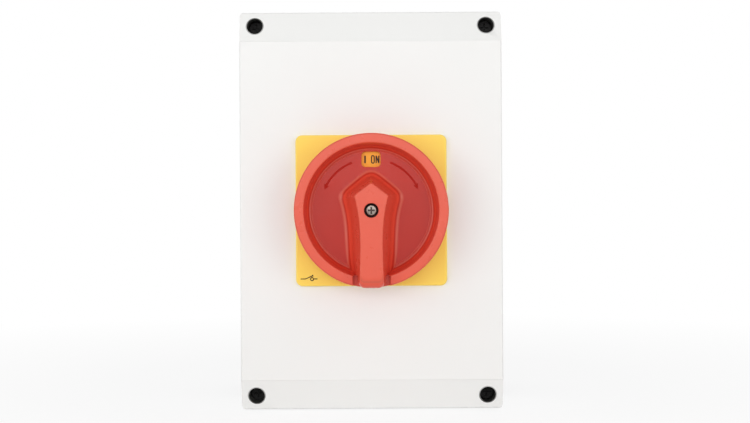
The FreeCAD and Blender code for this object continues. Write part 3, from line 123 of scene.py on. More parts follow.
def rounded_rectangle(width: float, height: float, radius: float, steps: int = 8) -> Array:
    """Outline of a rectangle with four quarter-circle corners, anticlockwise, centred on 0.

    Args:
        width: Size across.
        height: Size up.
        radius: Radius of the corners.
        steps: Points of a corner.

    Returns:
        Array of shape (4 * steps, 2).
    """
    x, y = width / 2 - radius, height / 2 - radius
    corners = [(x, y, 0), (-x, y, 90), (-x, -y, 180), (x, -y, 270)]
    return np.concatenate([arc_points((cx, cy), (radius, radius), turn, turn + 90, steps)
                           for cx, cy, turn in corners])


def circle(radius: float, steps: int) -> Array:
    """Even points of a circle round 0, without a repeated last point."""
    return arc_points((0, 0), (radius, radius), 0, 360, steps + 1)[:-1]


def outward(outline: Array) -> Array:
    """Unit normals of closed anticlockwise outlines: the chord between neighbours, turned a quarter clockwise.

    Args:
        outline: Outlines, shape (..., columns, 2).

    Returns:
        Array of the same shape.
    """
    chord = np.roll(outline, -1, axis=-2) - np.roll(outline, 1, axis=-2)
    length = np.linalg.norm(chord, axis=-1, keepdims=True)
    return np.stack([chord[..., 1], -chord[..., 0]], axis=-1) / np.maximum(length, 1e-9)


def softened(outline: Array, passes: int) -> Array:
    """Closed outline with its corners eased: each pass averages a point with its neighbours by 1, 2, 1.

    Args:
        outline: Outlines, shape (..., columns, 2).
        passes: Number of passes.

    Returns:
        Array of the same shape.
    """
    for _ in range(passes):
        outline = (np.roll(outline, 1, axis=-2) + 2 * outline + np.roll(outline, -1, axis=-2)) / 4
    return outline


# Meshes
def grid_faces(rows: int, columns: int, wrap_rows: bool = False) -> Array:
    """Four-sided faces between neighbours of a grid whose columns close on themselves.

    Args:
        rows: Rows of the grid.
        columns: Columns of the grid.
        wrap_rows: Whether the last row joins the first.

    Returns:
        Array of shape (faces, 4), of point numbers.
    """
    row = np.arange(rows if wrap_rows else rows - 1)[:, None]
    column = np.arange(columns)[None, :]
    here, above = row * columns, (row + 1) % rows * columns
    beside = (column + 1) % columns
    return np.stack([here + column, here + beside, above + beside, above + column], axis=-1).reshape(-1, 4)


def put(name: str, mesh: bpy.types.Mesh) -> Piece:
    """New object at the origin that shows the mesh.

    Args:
        name: Name of the object.
        mesh: Its mesh.

    Returns:
        The object.
    """
    piece = bpy.data.objects.new(name, mesh)
    bpy.context.scene.collection.objects.link(piece)
    return piece


def face_out(mesh: bpy.types.Mesh) -> None:
    """Merges doubles and turns every closed shell's faces outward.

    Args:
        mesh: The mesh that is changed.
    """
    work = bmesh.new()
    work.from_mesh(mesh)
    bmesh.ops.remove_doubles(work, verts=work.verts, dist=1e-7)
    bmesh.ops.recalc_face_normals(work, faces=work.faces)
    work.to_mesh(mesh)
    work.free()


def shell(name: str, grids: list[Array], wrap_rows: bool = False) -> Piece:
    """One object from grids of plan points.

    Each grid has shape (rows, columns, 3). Its columns run round the shape; its
    first and last row are each closed with one face, unless the rows wrap.

    Args:
        name: Name of the object.
        grids: Plan points in millimetres.
        wrap_rows: Whether the last row joins the first.

    Returns:
        The object, facing outward.
    """
    points, faces, start = [], [], 0
    for grid in grids:
        rows, columns = grid.shape[:2]
        points.append(to_row(grid.reshape(-1, 3)))
        faces += (grid_faces(rows, columns, wrap_rows) + start).tolist()
        if not wrap_rows:
            faces.append(np.arange(start, start + columns)[::-1].tolist())
            faces.append(np.arange(start + (rows - 1) * columns, start + rows * columns).tolist())
        start += rows * columns
    mesh = bpy.data.meshes.new(name)
    mesh.from_pydata(np.concatenate(points).tolist(), [], faces)
    face_out(mesh)
    return put(name, mesh)


def levelled(outline: Array, levels: list[Pair]) -> Array:
    """Grid of one outline at several depths.

    A row is the outline moved along its outward normals by the row's offset,
    at the row's depth.

    Args:
        outline: Closed outline, shape (columns, 2).
        levels: Pairs of depth and offset.

    Returns:
        Array of shape (levels, columns, 3).
    """
    normal = outward(outline)
    rows = [np.column_stack([outline + offset * normal, np.full(len(outline), depth)]) for depth, offset in levels]
    return np.stack(rows)


def carried(path: Array, profile: Array, closed: bool) -> Array:
    """A profile carried along a flat path.

    A point is the path's point, moved sideways by the profile's first value, at
    the depth of its second. Where the path bends, the sideways step grows by
    the inverse cosine of half the bend, so the band keeps its width.

    Args:
        path: Shape (rows, 2).
        profile: Closed section, shape (columns, 2), of sideways step and depth.
        closed: Whether the path closes on itself.

    Returns:
        Array of shape (rows, columns, 3).
    """
    if closed:
        before, after = path - np.roll(path, 1, axis=0), np.roll(path, -1, axis=0) - path
    else:
        step = np.diff(path, axis=0)
        before = np.concatenate([step[:1], step])
        after = np.concatenate([step, step[-1:]])
    before = before / np.linalg.norm(before, axis=1, keepdims=True)
    after = after / np.linalg.norm(after, axis=1, keepdims=True)
    mean = before + after
    mean = mean / np.linalg.norm(mean, axis=1, keepdims=True)
    side = np.stack([-mean[:, 1], mean[:, 0]], axis=-1) / np.sum(mean * before, axis=1, keepdims=True)
    flat = path[:, None, :] + side[:, None, :] * profile[None, :, :1]
    depth = np.broadcast_to(profile[None, :, 1:], flat.shape[:2] + (1,))
    return np.concatenate([flat, depth], axis=-1)


def turned(profile: Array, columns: int) -> Array:
    """Grid of a profile of (radius, depth) turned round the depth axis.

    Args:
        profile: Shape (rows, 2).
        columns: Points round a turn.

    Returns:
        Array of shape (rows, columns, 3).
    """
    ring = circle(1.0, columns)
    flat = profile[:, None, :1] * ring[None, :, :]
    depth = np.broadcast_to(profile[:, None, 1:], flat.shape[:2] + (1,))
    return np.concatenate([flat, depth], axis=-1)


class Joining(Enum):
    """How a second solid changes the first."""

    ADD = "UNION"
    CUT = "DIFFERENCE"


def combine(body: Piece, steps: list[tuple[Piece, Joining]]) -> Piece:
    """Applies solids to a body in order and removes them.

    Args:
        body: The closed mesh that is kept.
        steps: Closed meshes, each with how it changes the body.

    Returns:
        The same object with its new mesh.
    """
    for tool, joining in steps:
        change = body.modifiers.new(joining.name.lower(), "BOOLEAN")
        change.solver = "EXACT"
        change.operation = joining.value
        change.object = tool
    graph = bpy.context.evaluated_depsgraph_get()
    body.data = bpy.data.meshes.new_from_object(body.evaluated_get(graph))
    body.modifiers.clear()
    for tool, _ in steps:
        bpy.data.objects.remove(tool)
    return body


def joined(piece: Piece, others: list[Piece]) -> Piece:
    """One object with the meshes of all, in order.

    Args:
        piece: The object that is kept.
        others: The objects that are added to it and removed.

    Returns:
        The same object with its new mesh.
    """
    work = bmesh.new()
    for part in [piece, *others]:
        work.from_mesh(part.data)
    work.to_mesh(piece.data)
    work.free()
    for part in others:
        bpy.data.objects.remove(part)
    return piece


def cad_copy(node: str, name: str) -> Piece:
    """Merged copy of a CAD node's mesh, with flat faces made whole, that stands for the node.

    Args:
        node: Name of the CAD node.
        name: Name of the new piece.

    Returns:
        The piece.
    """
    work = bmesh.new()
    work.from_mesh(frame["nodes"][node].data)
    bmesh.ops.remove_doubles(work, verts=work.verts, dist=2e-6)
    bmesh.ops.dissolve_limit(work, angle_limit=FLAT_ANGLE, verts=work.verts, edges=work.edges)
    mesh = bpy.data.meshes.new(name)
    work.to_mesh(mesh)
    work.free()
    mesh.materials.clear()
    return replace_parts(put(name, mesh), node)


def shade(piece: Piece, bevel: float = 0.0) -> Piece:
    """Smooth shading with sharp edges kept, and normals weighted by face size.

    Args:
        piece: The object.
        bevel: Rounding of the sharp edges in millimetres, or 0 for none.

    Returns:
        The same object.
    """
    piece.data.shade_smooth()
    if bevel:
        edge = piece.modifiers.new("edges", "BEVEL")
        edge.width, edge.segments, edge.limit_method = bevel * MM, 3, "ANGLE"
        edge.angle_limit, edge.use_clamp_overlap = BEVEL_ANGLE, True
        edge.harden_normals = False
    else:
        piece.data.set_sharp_from_angle(angle=SHARP_ANGLE)
    weight = piece.modifiers.new("normals", "WEIGHTED_NORMAL")
    weight.weight, weight.keep_sharp = 60, True
    return piece


# Finishes
Socket = bpy.types.NodeSocket
Value = float | tuple[float, ...] | Socket
NOISE_SPAN = (0.3, 0.7)
FILM_SIZE = 9.0
WHITE = (1.0, 1.0, 1.0, 1.0)


class Nodes:
    """Writes the nodes of one tree."""

    def __init__(self, owner: bpy.types.Material | bpy.types.World, output: str) -> None:
        """Clears the owner's tree and starts it with its output.

        Args:
            owner: The material or world.
            output: Kind of the output node.
        """
        owner.use_nodes = True
        self.tree = owner.node_tree
        self.tree.nodes.clear()
        self.output = self.tree.nodes.new(output)

    def feed(self, node: bpy.types.Node, inputs: dict[str | int, Value]) -> None:
        """Fills a node's inputs: a socket is linked, and any other value stands on the input itself.

        Args:
            node: The node.
            inputs: For each input, its value or the socket that feeds it.
        """
        for key, value in inputs.items():
            if isinstance(value, Socket):
                self.tree.links.new(value, node.inputs[key])
            else:
                node.inputs[key].default_value = value

    def add(self, kind: str, inputs: dict[str | int, Value] | None = None, result: str | int = 0,
            **settings: object) -> Socket:
        """Adds a node.

        Args:
            kind: Kind of node.
            inputs: For each input, its value or the socket that feeds it.
            result: The output that is wanted.
            settings: The node's own settings.

        Returns:
            The wanted output.
        """
        node = self.tree.nodes.new(kind)
        for key, value in settings.items():
            setattr(node, key, value)
        self.feed(node, inputs or {})
        return node.outputs[result]

    def sum(self, operation: str, one: Socket, other: Socket) -> Socket:
        """One sum on two values."""
        return self.add("ShaderNodeMath", {0: one, 1: other}, operation=operation)

    def spread(self, source: Socket, low: float, high: float, span: Pair = NOISE_SPAN) -> Socket:
        """From low to high as the source goes over the span, and held beyond it."""
        return self.add("ShaderNodeMapRange", {"Value": source, "From Min": span[0], "From Max": span[1],
                                               "To Min": low, "To Max": high})

    def share(self, source: Socket, start: float, end: float) -> Socket:
        """Share of the way from start to end, held between 0 and 1."""
        return self.spread(source, 0.0, 1.0, (start, end))

    def blend(self, share: Socket, first: Value, second: Value) -> Socket:
        """Colour between two; 6 and 7 are a Mix node's colours, and 2 is their result."""
        return self.add("ShaderNodeMix", {0: share, 6: first, 7: second}, 2, data_type="RGBA")

    def ramp(self, source: Socket, colours: tuple[Colour, Colour], span: Pair = NOISE_SPAN) -> Socket:
        """Colour between two tones as the source goes over the span.

        Args:
            source: What is read.
            colours: Tone at the start and at the end.
            span: Start and end.

        Returns:
            The colour.
        """
        result = self.add("ShaderNodeValToRGB", {"Fac": source})
        for stop, place, colour in zip(result.node.color_ramp.elements, span, colours):
            stop.position, stop.color = place, (*colour, 1.0)
        return result

    def mottled(self, source: Socket, colour: Colour, share: float) -> Socket:
        """The colour, darker to lighter by the share as the source varies, and held at 1."""
        dark, light = (tuple(min(part * tone, 1.0) for part in colour) for tone in (1 - share, 1 + share))
        return self.ramp(source, (dark, light))


class Graph(Nodes):
    """Writes the nodes of one material round a Principled shader."""

    def __init__(self, name: str) -> None:
        """Starts a material with its shader and the piece's own coordinates and normals.

        Args:
            name: Name of the material.
        """
        self.material = bpy.data.materials.new(name)
        super().__init__(self.material, "ShaderNodeOutputMaterial")
        surface = self.add("ShaderNodeBsdfPrincipled")
        self.feed(self.output, {"Surface": surface})
        self.shader = surface.node
        place = self.tree.nodes.new("ShaderNodeTexCoord")
        self.place, self.turn = place.outputs["Object"], place.outputs["Normal"]

    def noise(self, size: float, detail: float = 2.0, stretch: Triple = (1.0, 1.0, 1.0)) -> Socket:
        """Noise with features of the given size in millimetres, stretched along the axes.

        Args:
            size: Size of a feature.
            detail: Octaves of finer noise.
            stretch: How much longer a feature is along X, Y and Z.

        Returns:
            The noise, mostly between 0.3 and 0.7.
        """
        scale = tuple(1.0 / part for part in stretch)
        mapped = self.add("ShaderNodeMapping", {"Vector": self.place, "Scale": scale})
        return self.add("ShaderNodeTexNoise", {"Vector": mapped, "Scale": 1.0 / (size * MM), "Detail": detail})

    def inward(self, vector: Socket) -> Socket:
        """The part of a vector that points into the wall."""
        return self.add("ShaderNodeSeparateXYZ", {"Vector": vector}, "Y")

    def relief(self, layers: list[tuple[Socket, float, float]]) -> Socket:
        """Normal with bumps: each layer is a source, its depth in millimetres and its strength.

        Args:
            layers: The layers, coarse first.

        Returns:
            The bumped normal.
        """
        below = {}
        for source, depth, strength in layers:
            bump = self.add("ShaderNodeBump", {"Height": source, "Distance": depth * MM, "Strength": strength,
                                               **below})
            below = {"Normal": bump}
        return bump

    def finished(self, inputs: dict[str, Value]) -> bpy.types.Material:
        """Fills the shader's inputs and gives the material."""
        self.feed(self.shader, inputs)
        return self.material


@dataclass(frozen=True)
class MouldedPlastic:
    """Injection moulding with spark-eroded grain and faint flow marks."""

    colour: Colour
    roughness: float = 0.45
    grain: float = 0.35
    grain_depth: float = 0.02
    grain_strength: float = 0.25
    mottle: float = 0.03
    flow: float = 45.0
    specular: float = 0.5

    def base(self, graph: Graph) -> Socket:
        """Colour, tinted by the flow."""
        return graph.mottled(graph.noise(self.flow, 3.0), self.colour, self.mottle)

    def gloss(self, graph: Graph) -> Socket:
        """Roughness, varied by a finger film."""
        return graph.spread(graph.noise(FILM_SIZE, 4.0), self.roughness - 0.05, self.roughness + 0.06)

    def material(self, name: str) -> bpy.types.Material:
        """Builds the nodes: the colour, the gloss, and a coarse and a fine grain as bumps.

        Args:
            name: Name of the material.

        Returns:
            The material.
        """
        graph = Graph(name)
        grains = [(graph.noise(2.6 * self.grain, 2.0), self.grain_depth, 0.5 * self.grain_strength),
                  (graph.noise(self.grain, 3.0), self.grain_depth, self.grain_strength)]
        return graph.finished({"Base Color": self.base(graph), "Roughness": self.gloss(graph),
                               "Normal": graph.relief(grains), "Specular IOR Level": self.specular})


@dataclass(frozen=True)
class SteppedPlastic(MouldedPlastic):
    """Moulding with polished tops out from a level in a tone of painted light, a duller grained floor darkened by
    painted shade, and painted highlights on the radii between faces.
    """

    # Painted light: the tops' tone is a painted sheen on the knob, and painted shade with a red cast on the plate's
    # drum face seen in the window.
    top_painted_light: Colour = (0.8, 0.1, 0.06)
    # Painted shade: a darker tone on the floor.
    floor_painted_shade: Colour = (0.5, 0.05, 0.03)
    top_roughness: float = 0.3
    top_level: float = 151.2
    floor_level: float = 141.5
    # Painted highlight: a lighter tone on radii that turn part way out of the wall.
    radius_highlight_colour: Colour = (0.62, 0.10, 0.06)
    step: float = 0.5
    facing: Pair = (0.45, 0.9)
    radius_highlight_facing: tuple[float, float, float, float] = (0.84, 0.93, 0.95, 0.998)

    def high(self, graph: Graph) -> Socket:
        """One on the tops, and nothing below them."""
        return graph.share(graph.inward(graph.place), -self.top_level * MM, -(self.top_level + self.step) * MM)

    def base(self, graph: Graph) -> Socket:
        """Where a face looks out of the wall, its level picks between the floor's tone, painted shade, and the top's
        tone, painted light.

        A radius that turns out of the wall by the highlight facing range gets a lighter tone, a painted highlight.

        Args:
            graph: The nodes of the material.

        Returns:
            The colour.
        """
        turn, high = graph.inward(graph.turn), self.high(graph)
        low = graph.share(graph.inward(graph.place), -self.floor_level * MM, -(self.floor_level - self.step) * MM)
        looks_out = graph.share(turn, -self.facing[0], -self.facing[1])
        # Painted highlight on the radii that turn part way out of the wall.
        start, full, fade, end = (-share for share in self.radius_highlight_facing)
        radius_highlight = graph.sum("MULTIPLY", graph.share(turn, start, full), graph.share(turn, end, fade))
        flow = graph.noise(self.flow, 3.0)
        # Painted light: the floor tone is painted shade, the top tone painted light, the radius tone a painted
        # highlight.
        plain, floor, top, wear_and_highlight = (graph.mottled(flow, tone, self.mottle) for tone in
                                   (self.colour, self.floor_painted_shade, self.top_painted_light, self.radius_highlight_colour))
        flat = graph.sum("MULTIPLY", looks_out, graph.sum("MAXIMUM", low, high))
        return graph.blend(radius_highlight, graph.blend(flat, plain, graph.blend(high, floor, top)), wear_and_highlight)

    def gloss(self, graph: Graph) -> Socket:
        """The body's and the tops' roughness under one film; 2 and 3 are a Mix node's numbers.

        Args:
            graph: The nodes of the material.

        Returns:
            The roughness.
        """
        film = graph.noise(FILM_SIZE, 4.0)
        body, tops = (graph.spread(film, rough - 0.02, rough + 0.03) for rough in
                      (self.roughness, self.top_roughness))
        return graph.add("ShaderNodeMix", {0: self.high(graph), 2: body, 3: tops}, data_type="FLOAT")


@dataclass(frozen=True)
class CoverPlastic(MouldedPlastic):
    """Grained moulding with painted shade darkening down its screw wells."""

    well_place: Triple = (69.5, 0.0, 111.0)
    well_edge: Pair = (5.5, 5.2)
    well_depth: Pair = (124.6, 119.0)
    # Painted shade down in the screw wells.
    well_painted_shade: Colour = (0.05, 0.05, 0.046)

    def base(self, graph: Graph) -> Socket:
        """The nearness to the nearest well's axis, times the depth in it, picks the painted shade.

        Args:
            graph: The nodes of the material.

        Returns:
            The colour.
        """
        kind = "ShaderNodeVectorMath"
        fold = graph.add(kind, {0: graph.place}, operation="ABSOLUTE")
        flat = graph.add(kind, {0: fold, 1: (1, 0, 1)}, operation="MULTIPLY")
        centre = tuple(part * MM for part in self.well_place)
        gap = graph.add(kind, {0: flat, 1: centre}, "Value", operation="DISTANCE")
        near = graph.share(gap, *(part * MM for part in self.well_edge))
        down = graph.share(graph.inward(graph.place), *(-part * MM for part in self.well_depth))
        # Painted shade: darker with depth near each well's axis.
        return graph.blend(graph.sum("MULTIPLY", near, down), super().base(graph), (*self.well_painted_shade, 1.0))


@dataclass(frozen=True)
class WorkedMetal:
    """Metal with drawing lines along one axis and a dull film."""

    colour: Colour
    film: Colour
    roughness: float = 0.3
    line: float = 0.25
    stretch: Triple = (1.0, 12.0, 1.0)
    depth: float = 0.012

    def material(self, name: str) -> bpy.types.Material:
        """Builds the nodes: a film in patches tints the metal, and stretched noise draws its lines.

        Args:
            name: Name of the material.

        Returns:
            The material.
        """
        graph = Graph(name)
        lines = graph.noise(self.line, 3.0, self.stretch)
        return graph.finished({"Base Color": graph.ramp(graph.noise(6.0, 4.0), (self.film, self.colour)),
                               "Roughness": graph.spread(lines, self.roughness - 0.08, self.roughness + 0.12),
                               "Normal": graph.relief([(lines, self.depth, 0.35)]), "Metallic": 1.0})


@dataclass(frozen=True)
class Elastomer:
    """Rubber or foam with pores and a dusty bloom."""

    colour: Colour
    bloom: Colour
    pore: float = 0.3
    depth: float = 0.03
    roughness: float = 0.75

    def material(self, name: str) -> bpy.types.Material:
        """Builds the nodes: a bloom in patches over the rubber, and cells for its pores.

        Args:
            name: Name of the material.

        Returns:
            The material.
        """
        graph = Graph(name)
        cells = graph.add("ShaderNodeTexVoronoi", {"Vector": graph.place, "Scale": 1.0 / (self.pore * MM)})
        bloom = graph.ramp(graph.noise(4.0, 4.0), (self.colour, self.bloom), (0.45, 0.75))
        rough = graph.spread(graph.noise(2.0), self.roughness - 0.08, self.roughness + 0.08)
        return graph.finished({"Base Color": bloom, "Roughness": rough, "Specular IOR Level": 0.35,
                               "Normal": graph.relief([(cells, self.depth, 0.4)])})


@dataclass(frozen=True)
class PadInk:
    """Thin printed ink that thins out in specks."""

    colour: Colour
    wear_and_highlight: Colour

    def material(self, name: str) -> bpy.types.Material:
        """Builds the nodes: fine specks of a lighter tone and an uneven film.

        Args:
            name: Name of the material.

        Returns:
            The material.
        """
        graph = Graph(name)
        specks = graph.ramp(graph.noise(0.25, 3.0), (self.colour, self.wear_and_highlight), (0.55, 0.8))
        return graph.finished({"Base Color": specks, "Roughness": graph.spread(graph.noise(0.6), 0.42, 0.58),
                               "Normal": graph.relief([(graph.noise(0.12), 0.006, 0.3)]), "Specular IOR Level": 0.25})


RED: Colour = (0.75, 0.078, 0.042)
Finish = MouldedPlastic | WorkedMetal | Elastomer | PadInk
FINISHES: dict[str, Finish] = {
    "base_plastic": MouldedPlastic((0.026, 0.027, 0.029), 0.5, 0.45, 0.03, 0.4, 0.12),
    "cover_plastic": CoverPlastic((0.85, 0.85, 0.835), 0.5, 0.4, 0.02, 0.22, 0.008, 70.0),
    # Plate: the orange tone on the drum face is painted shade with the red cast of the knob's window, and the lighter
    # radius tone is a painted highlight.
    "plate_plastic": SteppedPlastic((0.98, 0.70, 0.10), 0.42, 0.3, 0.015, 0.2, 0.02, 30.0, 0.4, (0.92, 0.41, 0.018),
                                    (0.98, 0.70, 0.10), 0.45, 136.0, 130.0, (0.98, 0.74, 0.14)),
    # Knob: the lighter top tone is painted sheen, the darker floor tone painted shade, and the radius tone a painted
    # highlight.
    "knob_plastic": SteppedPlastic(RED, 0.30, 0.3, 0.012, 0.2, 0.02, 22.0, 0.32, (0.755, 0.106, 0.061),
                                   (0.485, 0.018, 0.006), 0.28),
    # The arrows' darker red is painted shade, standing in for the shade along the raised arcs.
    "arrow_plastic": MouldedPlastic((0.41, 0.012, 0.005), 0.5, 0.3, 0.012, 0.2, 0.05, 12.0, 0.12),
    "washer_plastic": MouldedPlastic((0.022, 0.008, 0.006), 0.5, 0.3, 0.012, 0.2, 0.1, 8.0, 0.15),
    "black_plastic": MouldedPlastic((0.008, 0.007, 0.007), 0.5, 0.3, 0.02, 0.3, 0.12, 12.0, 0.22),
    "slide_plastic": MouldedPlastic((0.62, 0.05, 0.036), 0.4, 0.3, 0.015, 0.25, 0.05, 12.0),
    "deck_plastic": MouldedPlastic((0.10, 0.105, 0.11), 0.52, 0.5, 0.03, 0.35, 0.08, 18.0),
    "latch_plastic": MouldedPlastic((0.19, 0.19, 0.20), 0.5, 0.45, 0.03, 0.35, 0.07, 18.0),
    "cam_plastic": MouldedPlastic((0.74, 0.73, 0.68), 0.4, 0.35, 0.02, 0.25, 0.04, 12.0),
    "plunger_plastic": MouldedPlastic((0.79, 0.78, 0.73), 0.4, 0.35, 0.02, 0.25, 0.04, 12.0),
    "earth_plastic": MouldedPlastic((0.10, 0.42, 0.12), 0.45, 0.35, 0.02, 0.3, 0.05, 10.0),
    "neutral_plastic": MouldedPlastic((0.06, 0.22, 0.58), 0.45, 0.35, 0.02, 0.3, 0.05, 10.0),
    "steel": WorkedMetal((0.66, 0.66, 0.65), (0.50, 0.50, 0.50), 0.30),
    "screw_steel": WorkedMetal((0.34, 0.30, 0.26), (0.21, 0.18, 0.16), 0.34, 0.15, (6.0, 1.0, 1.0), 0.02),
    # Painted shade for the screw's cross recess.
    "recess_shade_steel": WorkedMetal((0.13, 0.095, 0.09), (0.07, 0.05, 0.045), 0.5, 0.2, (3.0, 1.0, 1.0), 0.02),
    "spring_steel": WorkedMetal((0.55, 0.55, 0.54), (0.40, 0.39, 0.38), 0.26, 0.2, (8.0, 1.0, 1.0)),
    "copper": WorkedMetal((0.80, 0.42, 0.28), (0.62, 0.30, 0.19), 0.32, 0.3, (14.0, 1.0, 1.0)),
    "brass": WorkedMetal((0.80, 0.62, 0.30), (0.64, 0.48, 0.22), 0.30, 0.3, (14.0, 1.0, 1.0)),
    "silver": WorkedMetal((0.86, 0.85, 0.82), (0.70, 0.68, 0.62), 0.25, 0.2, (1.0, 1.0, 6.0)),
    "seal_rubber": Elastomer((0.03, 0.03, 0.031), (0.07, 0.07, 0.07)),
    "gasket_foam": Elastomer((0.12, 0.12, 0.125), (0.22, 0.22, 0.22), 0.5, 0.08, 0.85),
    "ink": PadInk((0.042, 0.014, 0.004), (0.09, 0.04, 0.012)),
}


class Paintbox:
    """Makes each finish's material once and hands it out by name."""

    def __init__(self) -> None:
        """Starts with no material made."""
        self.made: dict[str, bpy.types.Material] = {}

    def __call__(self, name: str) -> bpy.types.Material:
        """The material of a finish.

        Args:
            name: Name of the finish.

        Returns:
            The material, made at its first use.
        """
        if name not in self.made:
            self.made[name] = FINISHES[name].material(name)
        return self.made[name]

    def dress(self, piece: Piece, finish: str, slot: str, body: str) -> Piece:
        """Gives a piece its finish and the body that it rides on.

        Args:
            piece: The piece.
            finish: Name of its finish.
            slot: Name of its slot; not used.
            body: Name of its body.

        Returns:
            The same piece.
        """
        piece.data.materials.clear()
        piece.data.materials.append(self(finish))
        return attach(piece, body)


# Lettering strokes on a unit square, and printed marks
GLYPHS: dict[str, list[list[Pair]]] = {
    "I": [[(0.42, 0.0), (0.42, 1.0)], [(0.58, 0.0), (0.58, 1.0)]],
    "N": [[(0.0, 0.0), (0.0, 1.0)], [(1.0, 0.0), (1.0, 1.0)], [(0.03, 0.97), (0.97, 0.03)]],
    "F": [[(0.0, 0.0), (0.0, 1.0)], [(0.0, 1.0), (1.0, 1.0)], [(0.0, 0.52), (0.8, 0.52)]],
}


@dataclass
class Mark:
    """A short printed mark made of strokes."""

    depth: float
    stroke: float
    thick: float = 0.04
    sunk: float = 0.02
    lift: float = 0.004

    def band(self, layer: int) -> Array:
        """Flat section of a stroke, lifted a little by its layer to keep crossing strokes apart."""
        half, low, high = self.stroke / 2, self.depth - self.sunk, self.depth + self.thick + self.lift * layer
        return np.array([(-half, low), (half, low), (half, high), (-half, high)])

    def line(self, points: list[Pair], layer: int = 0) -> Array:
        """One open stroke along the points."""
        return carried(np.array(points, float), self.band(layer), False)

    def glyph(self, letter: str, centre: Pair, size: Pair) -> list[Array]:
        """Strokes of a letter with the given middle and size."""
        low = np.array([centre[0] - size[0] / 2, centre[1] - size[1] / 2])
        return [self.line((low + np.array(points) * size).tolist(), layer)
                for layer, points in enumerate(GLYPHS[letter])]

    def oval(self, centre: Pair, size: Pair) -> Array:
        """Closed stroke round a rounded rectangle, as for a narrow letter O or a ring."""
        outline = rounded_rectangle(size[0], size[1], min(size) * 0.499, 10) + np.array(centre)
        return carried(outline, self.band(0), True)


# Sub-assemblies
@dataclass
class Enclosure:
    """Base, cover, their gasket and the four cover screws."""

    paint: Paintbox

    def build(self) -> list[Piece]:
        """Smooth copies of the mouldings, each with its finish.

        Returns:
            The pieces.
        """
        made = []
        for node, finish in (("base_shell", "base_plastic"), ("cover_shell", "cover_plastic"),
                             ("cover_gasket", "gasket_foam"), ("cover_screws", "black_plastic"),
                             ("cover_screw_seals", "seal_rubber")):
            piece = shade(cad_copy(node, node + "_moulded"))
            made.append(self.paint.dress(piece, finish, finish, "enclosure"))
        return made


@dataclass
class FrontPlate:
    """Square locking plate with its drum, its symbol and the two printed positions."""

    paint: Paintbox
    seal_bite: float = 1.5
    thickness: float = 3.5
    drum_behind: float = 13.0
    symbol_centre: Pair = (-37.3, -40.6)
    symbol_stroke: float = 0.58
    letter_height: float = 4.4
    letter_width: float = 1.55
    letter_stroke: float = 0.72
    small_share: float = 0.72
    window_radius: float = 30.0

    def symbol(self) -> Piece:
        """Switch-disconnector symbol: a line, a raised blade with a cross tick, a ring and a line.

        Returns:
            The dressed piece.
        """
        x, y = self.symbol_centre
        face = -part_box("plate_seal")[0].y / MM - self.seal_bite + self.thickness
        mark = Mark(face, self.symbol_stroke)
        strokes = [
            mark.line([(x - 5.0, y), (x - 2.1, y)]),
            mark.line([(x - 2.2, y - 0.05), (x + 2.3, y + 1.95)], 1),
            mark.line([(x + 1.95, y + 2.35), (x + 2.55, y + 1.45)], 2),
            mark.line([(x + 2.9, y), (x + 5.0, y)], 1),
        ]
        piece = shell("symbol_lines", strokes)
        ring = shell("symbol_ring", [mark.oval((x + 1.8, y - 0.1), (1.8, 1.8))], wrap_rows=True)
        return self.paint.dress(joined(piece, [ring]), "ink", "black_plastic", "enclosure")

    def position(self, name: str, letters: list[tuple[str, float, float]], size: Pair,
                 centre: Pair) -> Piece:
        """Printed position on the drum's face.

        Args:
            name: Name of the piece.
            letters: Letter and the place of its middle, relative to the centre.
            size: Width and height of a letter.
            centre: Middle of the window at that position.

        Returns:
            The dressed piece.
        """
        face = -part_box("knob_driver")[0].y / MM - self.drum_behind
        mark = Mark(face, self.letter_stroke * size[1] / self.letter_height)
        open_strokes, rings = [], []
        for letter, x, y in letters:
            place = (centre[0] + x, centre[1] + y)
            if letter == "O":
                rings.append(mark.oval(place, size))
            else:
                open_strokes += mark.glyph(letter, place, size)
        piece = shell(name, open_strokes)
        return self.paint.dress(joined(piece, [shell(name + "_rings", rings, wrap_rows=True)]), "ink",
                                "black_plastic", "enclosure")

    def build(self) -> list[Piece]:
        """The plate, the symbol, I ON under the window at ON and O OFF at OFF.

        Returns:
            The pieces.
        """
        plate = shade(cad_copy("locking_plate", "locking_plate_moulded"))
        size = (self.letter_width, self.letter_height)
        small = (self.letter_width * self.small_share, self.letter_height * self.small_share)
        radius = self.window_radius
        return [
            self.paint.dress(plate, "plate_plastic", "plate_plastic", "enclosure"),
            self.symbol(),
            self.position("mark_on", [("I", -3.5, 0.0), ("O", 1.1, 0.0), ("N", 3.8, 0.0)], size, (0.0, radius)),
            self.position("mark_off", [("O", 0.0, 2.6), ("O", -2.3, -2.0), ("F", 0.1, -2.0), ("F", 2.4, -2.0)],
                          small, (-radius, 0.0)),
        ]


